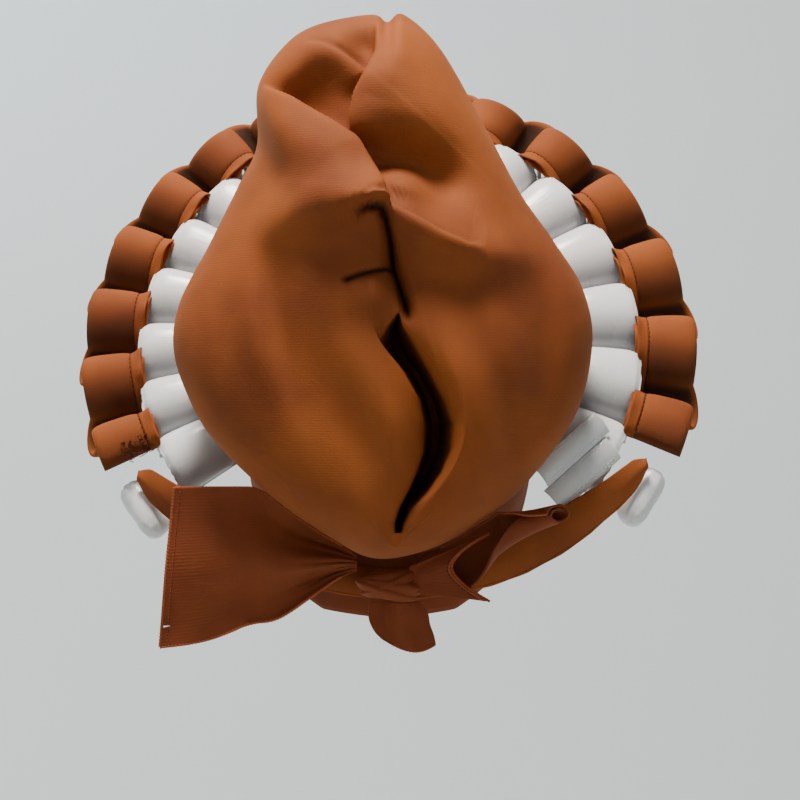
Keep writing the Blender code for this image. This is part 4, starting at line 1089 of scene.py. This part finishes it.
def end_roll(word, angle, way):
    rows = smooth_rows(ROLL_COLUMNS, END_ROLL, 90)
    place = angle + way * (ROLL_TUCK + (END_ROLL_LENGTH - ROLL_TUCK * 1.5) * rows["along"]
                           ) / END_ROLL_RING
    centre = ring_point(place, END_ROLL_RING, END_ROLL_LIFT - END_ROLL_RADIUS)
    outward = unit(ring_point(place, END_ROLL_RING) - ring_point(place, 0.0))
    turn = np.linspace(0, 2 * np.pi, 48, endpoint=False)
    pleat = 1 + 0.05 * np.sin(9 * turn)[None] * (1 - np.sin(np.pi * rows["along"]))[:, None]
    dent = 1 + 0.05 * np.sin(turn[None] * 2 + rows["along"][:, None] * 9)
    radius = END_ROLL_RADIUS * rows["size"][:, None] * pleat * dent
    grid = centre[:, None] + outward[:, None] * (radius * np.cos(turn))[..., None] \
        + RING_BACK * (radius * np.sin(turn))[..., None]
    item = grid_mesh("white_end_roll_" + word + "_padded", grid, SATIN, ring=True, ends=True)
    settle(item, "white_satin", "white_end_roll_" + word)


end_roll("left", angle_left, -1)
end_roll("right", angle_right, 1)

# %% [markdown]
# On the right the white band's last length lies in flat strips beside the pouch, each with two
# close lines of stitches along its edges.

# %% White flat end
FLAP_WIDTH, FLAP_LENGTH, FLAP_THICKNESS = 0.012, 0.046, 0.003
FLAP_ROLL, FLAP_RING, FLAP_LIFT = 0.75, 0.121, 0.0016
flap_height = 0.0105 + 0.0078 / 2 + FLAP_THICKNESS / 2 + FLAP_LIFT
flap_way, flap_across = unit(np.array([-0.72, -0.36, -0.60])), unit(np.array([0.62, -0.12, -0.77]))
flap_normal = unit(np.cross(flap_across, flap_way))
flap_normal = flap_normal * -np.sign(flap_normal[1])
STRIP_COLUMNS = ("aside", "back", "start", "length", "width")
# metres across the first strip, behind it, along it, and each strip's own length and width
STRIPS = ((0.0, 0.0, 0.0, 0.046, 0.0125), (0.0135, -0.0020, 0.004, 0.044, 0.0135))
flap_area, flap_items, flap_rows = 0.0, [], []
flap_start = ring_point(float(roll_angle(ROLLS - FLAP_ROLL)), FLAP_RING, flap_height)
t = np.linspace(0, 1, 60)[:, None, None]
share = np.linspace(1, -1, 21)[None, :, None]
for number, row in enumerate(read_table(STRIP_COLUMNS, STRIPS)):
    start = flap_start + flap_across * row["aside"] + flap_normal * row["back"] \
        + flap_way * row["start"]
    arch = 0.0022 * (1 - share ** 2) + 0.0012 * np.sin(3 * t + number) \
        + 0.0002 * np.sin(46 * t) * share ** 4
    rows = start + flap_way * row["length"] * t + flap_across * row["width"] / 2 * share \
        + flap_normal * arch
    item, area = cloth_strip(f"white_flat_strip_{number}", rows, SATIN_FLAT, 0.0012)
    flap_area += area
    flap_items.append(item)
    for column in (1, 3, 17, 19):
        line = rows[1:-1, column] + flap_normal * 0.0007
        seam = stitch_row(f"flat_strip_{number}_stitches_{column}", line, SATIN_FLAT, 0.0024,
                          0.0018, 0.0003)
        flap_rows.append(settle(seam, "white_satin"))
settle(flap_items[0], "white_satin", "white_end_flap")
settle(flap_items[1], "white_satin")
print("flat strips m2:", round(flap_area, 5))

# %% [markdown]
# The knot is one cloth wound round itself. A few overlapping turns stand out of a round core.

# %% Knot
TURN_COLUMNS = ("tilt", "start", "end", "width", "out", "shift")
# tilt of each turn in degrees, where it starts and ends round the knot in degrees, its width and
# height out of the core in millimetres, and its shift up the knot in millimetres
KNOT_TURNS = (
    (-14, -100, 100, 4.6, 1.9, -1.0),
    (16, -105, 95, 4.2, 1.5, 4.6),
    (-30, -60, 110, 3.4, 2.4, -4.8),
    (38, -60, 110, 3.0, 2.0, 0.6),
)
KNOT_ASIDE, KNOT_WIDE, KNOT_LOW = 0.0035, 0.0165, 0.0098


def knot_grid():
    polar = np.linspace(0.02, math.pi - 0.02, 110)[:, None]
    turn = np.linspace(0, 2 * np.pi, 150, endpoint=False)[None]
    ball = np.stack([np.sin(polar) * np.sin(turn), -np.sin(polar) * np.cos(turn),
                     np.cos(polar) + 0 * turn], axis=2)
    bulge = np.zeros(ball.shape[:2])
    for row in read_table(TURN_COLUMNS, KNOT_TURNS):
        tilt = math.radians(row["tilt"])
        up = -math.sin(tilt) * ball[..., 0] + math.cos(tilt) * ball[..., 2]
        aside = (up * KNOT_HALF_HEIGHT * 1000 - row["shift"]) / row["width"]
        over = np.clip(1 - aside ** 2, 0, 1) ** 0.6
        bulge = np.maximum(bulge, over * row["out"] + 0.25 * np.sin(aside * 5) * (over > 0))
    size = np.array([KNOT_WIDE, KNOT_HALF_DEPTH, KNOT_LOW])
    size = size * (0.82 + bulge[..., None] / 1000 / KNOT_LOW)
    return KNOT + np.array([KNOT_ASIDE, 0.0, -0.0005]) + ball * size


knot = grid_mesh("tie_knot_wound", knot_grid(), RUST_TIE, ring=True, ends=True)
settle(knot, "rust_crepe", "tie_knot")
print("knot faces:", len(knot.data.polygons))

# %% [markdown]
# The wide left end is one layer with overlocked edges. It narrows in soft pleats to the knot and
# hangs almost flat, with a small slit in its outer edge.

# %% Left end
TAIL_LEFT_LENGTH, TAIL_LEFT_WIDTH, TAIL_LEFT_RISE, TAIL_LEFT_SLANT = 0.088, 0.077, 0.033, 0.007
LEFT_COLUMNS = ("along", "width", "pleat", "bow")
LEFT_ROWS = (
    (0.00, 0.09, 0.15, 0.0), (0.10, 0.22, 0.60, 0.1), (0.22, 0.40, 1.00, 0.3),
    (0.44, 0.74, 0.70, 0.8), (0.70, 0.93, 0.30, 1.0), (1.00, 1.00, 0.05, 0.8),
)
SLIT_LEVEL, SLIT_LENGTH = 0.88, 0.055     # shares of the tail's width and length
LEFT_STATIONS, LEFT_ACROSS = 150, 110

left = smooth_rows(LEFT_COLUMNS, LEFT_ROWS, LEFT_STATIONS)
x = KNOT[0] - KNOT_HALF_WIDTH - TIE_GAP - left["along"] * TAIL_LEFT_LENGTH
top = np.minimum(np.minimum(-(BAG_DROP - TAIL_LEFT_RISE), under_bag(x)),
                 -BAG_DROP + TAIL_LEFT_RISE * left["along"] * 2.2)
soft_top = np.convolve(np.pad(top, 9, mode="edge"), np.ones(19) / 19, mode="valid")
top = np.minimum(top, soft_top)
t = np.linspace(0, 1, LEFT_ACROSS)[None]
fan = left["along"][:, None]
wave = np.sin(3 * np.pi * t) * 0.005 * left["pleat"][:, None]
fine = 0.0009 * np.sin(13 * np.pi * t + 2 * fan) * np.exp(-(fan / 0.30) ** 2)
bow = -0.003 * left["bow"][:, None] * np.sin(np.pi * t) ** 2
edge_curl = 0.0012 * np.sin(fan * 19) * (t ** 6)
x_grid = x[:, None] - TAIL_LEFT_SLANT * fan * t
z_grid = top[:, None] - left["width"][:, None] * TAIL_LEFT_WIDTH * t
left_grid = np.stack([x_grid, KNOT[1] + wave + fine + bow + edge_curl, z_grid], axis=2)
left_tail = grid_mesh("wide_left_end", left_grid, RUST_TIE)
opened = bmesh.new()
opened.from_mesh(left_tail.data)
slit_row = int(SLIT_LEVEL * (LEFT_ACROSS - 1))
slit_from = int(LEFT_STATIONS * (1 - SLIT_LENGTH))
opened.verts.ensure_lookup_table()
cut_edges = []
for row in range(slit_from, LEFT_STATIONS - 1):
    pair = {row * LEFT_ACROSS + slit_row, (row + 1) * LEFT_ACROSS + slit_row}
    cut_edges += [e for e in opened.verts[row * LEFT_ACROSS + slit_row].link_edges
                  if {v.index for v in e.verts} == pair]
bmesh.ops.split_edges(opened, edges=cut_edges)
for vert in opened.verts:
    faces = [f.calc_center_median().z for f in vert.link_faces]
    near_slit = abs(vert.co.z - float(z_grid[-1, slit_row])) < 0.0015 and vert.is_boundary
    if near_slit and vert.co.x > float(x_grid[-1, slit_row]) - 0.001 and faces:
        gap = min(1.0, max(0.0, (float(x_grid[slit_from, slit_row]) - vert.co.x) / 0.005))
        vert.co.z += 0.0006 * gap * (1 if sum(faces) / len(faces) > vert.co.z else -1)
opened.to_mesh(left_tail.data)
opened.free()
apply_modifier(left_tail, "SOLIDIFY", thickness=0.0011, offset=0.0)
left_tail.data.shade_smooth()
settle(left_tail, "rust_crepe", "tie_tail_left")
left_edges = [edge_thread("left_end_side_thread", left_grid[-1]),
              edge_thread("left_end_top_thread", left_grid[12:, 0], radius=0.0006),
              edge_thread("left_end_foot_thread", left_grid[12:, -1], radius=0.0007)]
left_seam = stitch_row("left_end_stitches",
                       left_grid[-6] + np.array([0.0, -0.0008, 0.0]), RUST_EDGE, 0.0016, 0.0011)
for item in left_edges + [left_seam]:
    settle(item, "rust_crepe")

# %% [markdown]
# The right end runs up and back from the knot as an open trough, and its tip is rolled up, so
# that its end shows as a spiral with a dark hole.

# %% Right end
TAIL_RIGHT_LENGTH, TAIL_RIGHT_WIDTH = 0.074, 0.036
TAIL_RIGHT_RISE, TAIL_RIGHT_BEND, TAIL_RIGHT_BACK, TAIL_RIGHT_AHEAD = 0.0345, 0.65, 0.020, 0.004
RIGHT_SLANT = 1.3           # the tip is cut aslant, so that its inside shows from behind
RIGHT_COLUMNS = ("along", "width", "turns", "face")
# shares of the length and width, turns of the section, and where its middle faces, in turns
RIGHT_ROWS = (
    (0.00, 0.26, 0.06, 0.00), (0.20, 0.50, 0.14, 0.00), (0.34, 0.84, 0.28, 0.02),
    (0.50, 1.04, 0.46, 0.04), (0.68, 1.10, 0.80, 0.06), (0.84, 1.14, 1.15, 0.08),
    (1.00, 1.16, 1.40, 0.10),
)
right = smooth_rows(RIGHT_COLUMNS, RIGHT_ROWS, 130)
x = KNOT[0] + KNOT_HALF_WIDTH + TIE_GAP + right["along"] * TAIL_RIGHT_LENGTH
share = np.linspace(0, 1, 96)
right_grid = []
for k, along in enumerate(right["along"]):
    length = right["width"][k] * TAIL_RIGHT_WIDTH
    tight = 1 - 0.55 * np.clip(right["turns"][k] - 0.45, 0, 1) * share
    turn = 2 * np.pi * (right["turns"][k] * (share - 0.42) + right["face"][k])
    steps = np.stack([-np.sin(turn) * tight, -np.cos(turn) * tight], axis=1) * length / 95
    section = np.cumsum(steps, axis=0)
    low, high = section.min(axis=0), section.max(axis=0)
    section[:, 1] -= high[1]
    section[:, 0] -= high[0]
    height = high[1] - low[1]
    rise = KNOT[2] + TAIL_RIGHT_RISE * along ** TAIL_RIGHT_BEND + height / 2
    level = min(float(under_bag(x[k])) - 0.0012, rise)
    back = KNOT[1] + TAIL_RIGHT_AHEAD - TAIL_RIGHT_BACK * along ** 2
    slant = RIGHT_SLANT * along ** 3 * section[:, 0]
    right_grid.append(np.stack([x[k] + slant, back + section[:, 0], level + section[:, 1]], axis=1))
right_grid = np.array(right_grid)
right_tail, right_area = cloth_strip("rolled_right_end", right_grid, RUST_TIE, 0.0011)
settle(right_tail, "rust_crepe", "tie_tail_right")
right_edges = [edge_thread("right_end_foot_thread", right_grid[24:, 0], radius=0.0006)]
settle(right_edges[0], "rust_crepe")
print("right end m2:", round(right_area, 5))

# %% [markdown]
# A flared end spreads from the knot over the rolled one. Its cut edge is curved and overlocked in
# a double line.

# %% Flared end
FLARE_MIDDLE, FLARE_CORNER, FLARE_ROOT_WIDTH, FLARE_WIDTH = 0.020, 0.038, 0.012, 0.032
FLARE_ROOT_RISE, FLARE_RISE, FLARE_BACK = 0.002, 0.0085, 0.0045
FLARE_OUT, FLARE_SEAT = 0.0095, 0.0013
flare_start = KNOT + np.array([KNOT_HALF_WIDTH + TIE_GAP - FLARE_SEAT, -FLARE_BACK, 0.0])
along = np.linspace(0, 1, 80)[:, None]
side = np.linspace(1, -1, 90)[None]
reach = FLARE_MIDDLE + (FLARE_CORNER - FLARE_MIDDLE) * np.abs(side) ** 1.7
flare_rise = FLARE_ROOT_RISE + (FLARE_RISE - FLARE_ROOT_RISE) * along
flare_half = (FLARE_ROOT_WIDTH + (FLARE_WIDTH - FLARE_ROOT_WIDTH) * along) / 2
folds = (0.0026 * along * (1 - side ** 2)
         - 0.0010 * np.sin(5 * side + 0.8) * (1 - 0.5 * along) * along)
flare_grid = flare_start + np.stack([reach * along + 0 * side, folds - FLARE_OUT * along,
                                     flare_rise + flare_half * side], axis=2)
flare, flare_area = cloth_strip("flared_end", flare_grid, RUST_TIE, 0.0012)
settle(flare, "rust_crepe", "tie_end_flared")
flare_out = np.array([0.0, -0.0007, 0.0])
flare_edges = [edge_thread("flared_end_thread", flare_grid[-1], radius=0.0007),
               edge_thread("flared_end_thread_2", flare_grid[-6] + flare_out, radius=0.0005)]
flare_seam = stitch_row("flared_end_stitches", flare_grid[-10] + flare_out, FRAY, 0.0018, 0.0012)
for item in flare_edges + [flare_seam]:
    settle(item, "rust_crepe")
print("flared end m2:", round(flare_area, 5))

# %% [markdown]
# The short end hangs from the knot. It widens to a curved foot and is dented where the knot
# pulls on it.

# %% Short hanging end
# metres below the knot's foot, and aside of its middle to the left and the right edge
EDGE_COLUMNS = ("down", "left", "right")
SHORT_EDGES = ((0.000, -0.0065, 0.0170), (0.005, -0.0078, 0.0205), (0.011, -0.0066, 0.0218),
               (0.016, -0.0030, 0.0236), (0.0205, 0.0045, 0.0245))
short = smooth_rows(EDGE_COLUMNS, SHORT_EDGES, 60)
top_point = KNOT + np.array([0.0, 0.0, -(KNOT_HALF_HEIGHT + TIE_GAP) + 0.002])
t = np.linspace(0, 1, 60)[None]
down = (short["down"] / short["down"][-1])[:, None]
foot = 0.0030 * np.sin(np.pi * t) ** 0.8 * down
dent = 0.0032 * np.exp(-((t - 0.34) / 0.16) ** 2) * (1 - 0.8 * down)
crease = 0.0016 * np.sin(7 * t + 0.5) * (1 - 0.4 * down) + 0.0018 * down * (t - 0.5)
short_grid = np.stack([
    top_point[0] + short["left"][:, None] + (short["right"] - short["left"])[:, None] * t,
    top_point[1] + dent + crease - 0.0016 * np.sin(np.pi * t),
    top_point[2] - short["down"][:, None] - foot], axis=2)
short_end, short_area = cloth_strip("short_hanging_end", short_grid, RUST_TIE, 0.0013)
settle(short_end, "rust_crepe", "tie_end_short")
short_edge = edge_thread("short_end_thread", short_grid[-1], radius=0.0006)
settle(short_edge, "rust_crepe")
print("short end m2:", round(short_area, 5))

# %% [markdown]
# Dark red thread shows on the raw end of the rust band, low on the left.

# %% Frayed thread
FRAY_THREADS, FRAY_SEED = 46, 7
rng = np.random.default_rng(FRAY_SEED)
fray_items = []
for number in range(FRAY_THREADS):
    row = int(rng.integers(0, 5))
    across = rng.uniform(-0.46, 0.05)
    place = rust_path[row] + rust_out[row] * across * RUST_WIDTH
    lift = rust_through[row] * np.sign(rust_through[row] @ RING_BACK)
    start = place + lift * (RUST_BAND["half"] * math.sqrt(max(0.0, 1 - (2 * across) ** 4)) + 0.0002)
    way = unit(rng.normal(size=3) + rust_out[row] * 0.8)
    points = [start + way * 0.0022 * s * rng.uniform(0.6, 1.2) + lift * 0.0009 * math.sin(3 * s)
              for s in np.linspace(0, 1.6, 7)]
    fray_items.append(tube(f"fray_{number:02d}", points, 0.00022, FRAY, sides=5))
clear_selection()
for item in fray_items:
    item.select_set(True)
bpy.context.view_layer.objects.active = fray_items[0]
bpy.ops.object.join()
fray = bpy.context.view_layer.objects.active
fray.name = "frayed_thread"
clear_selection()
settle(fray, "rust_crepe")
print("frayed thread faces:", len(fray.data.polygons))

# %% [markdown]
# ## Size of the detailed pieces
# The detailed pieces stay in the frame's box, apart from a few millimetres that cloth stands
# proud.

# %% Print the box of the detailed pieces
low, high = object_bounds()
print("visual box mm:", [round((b - a) * 1000, 1) for a, b in zip(low, high)])
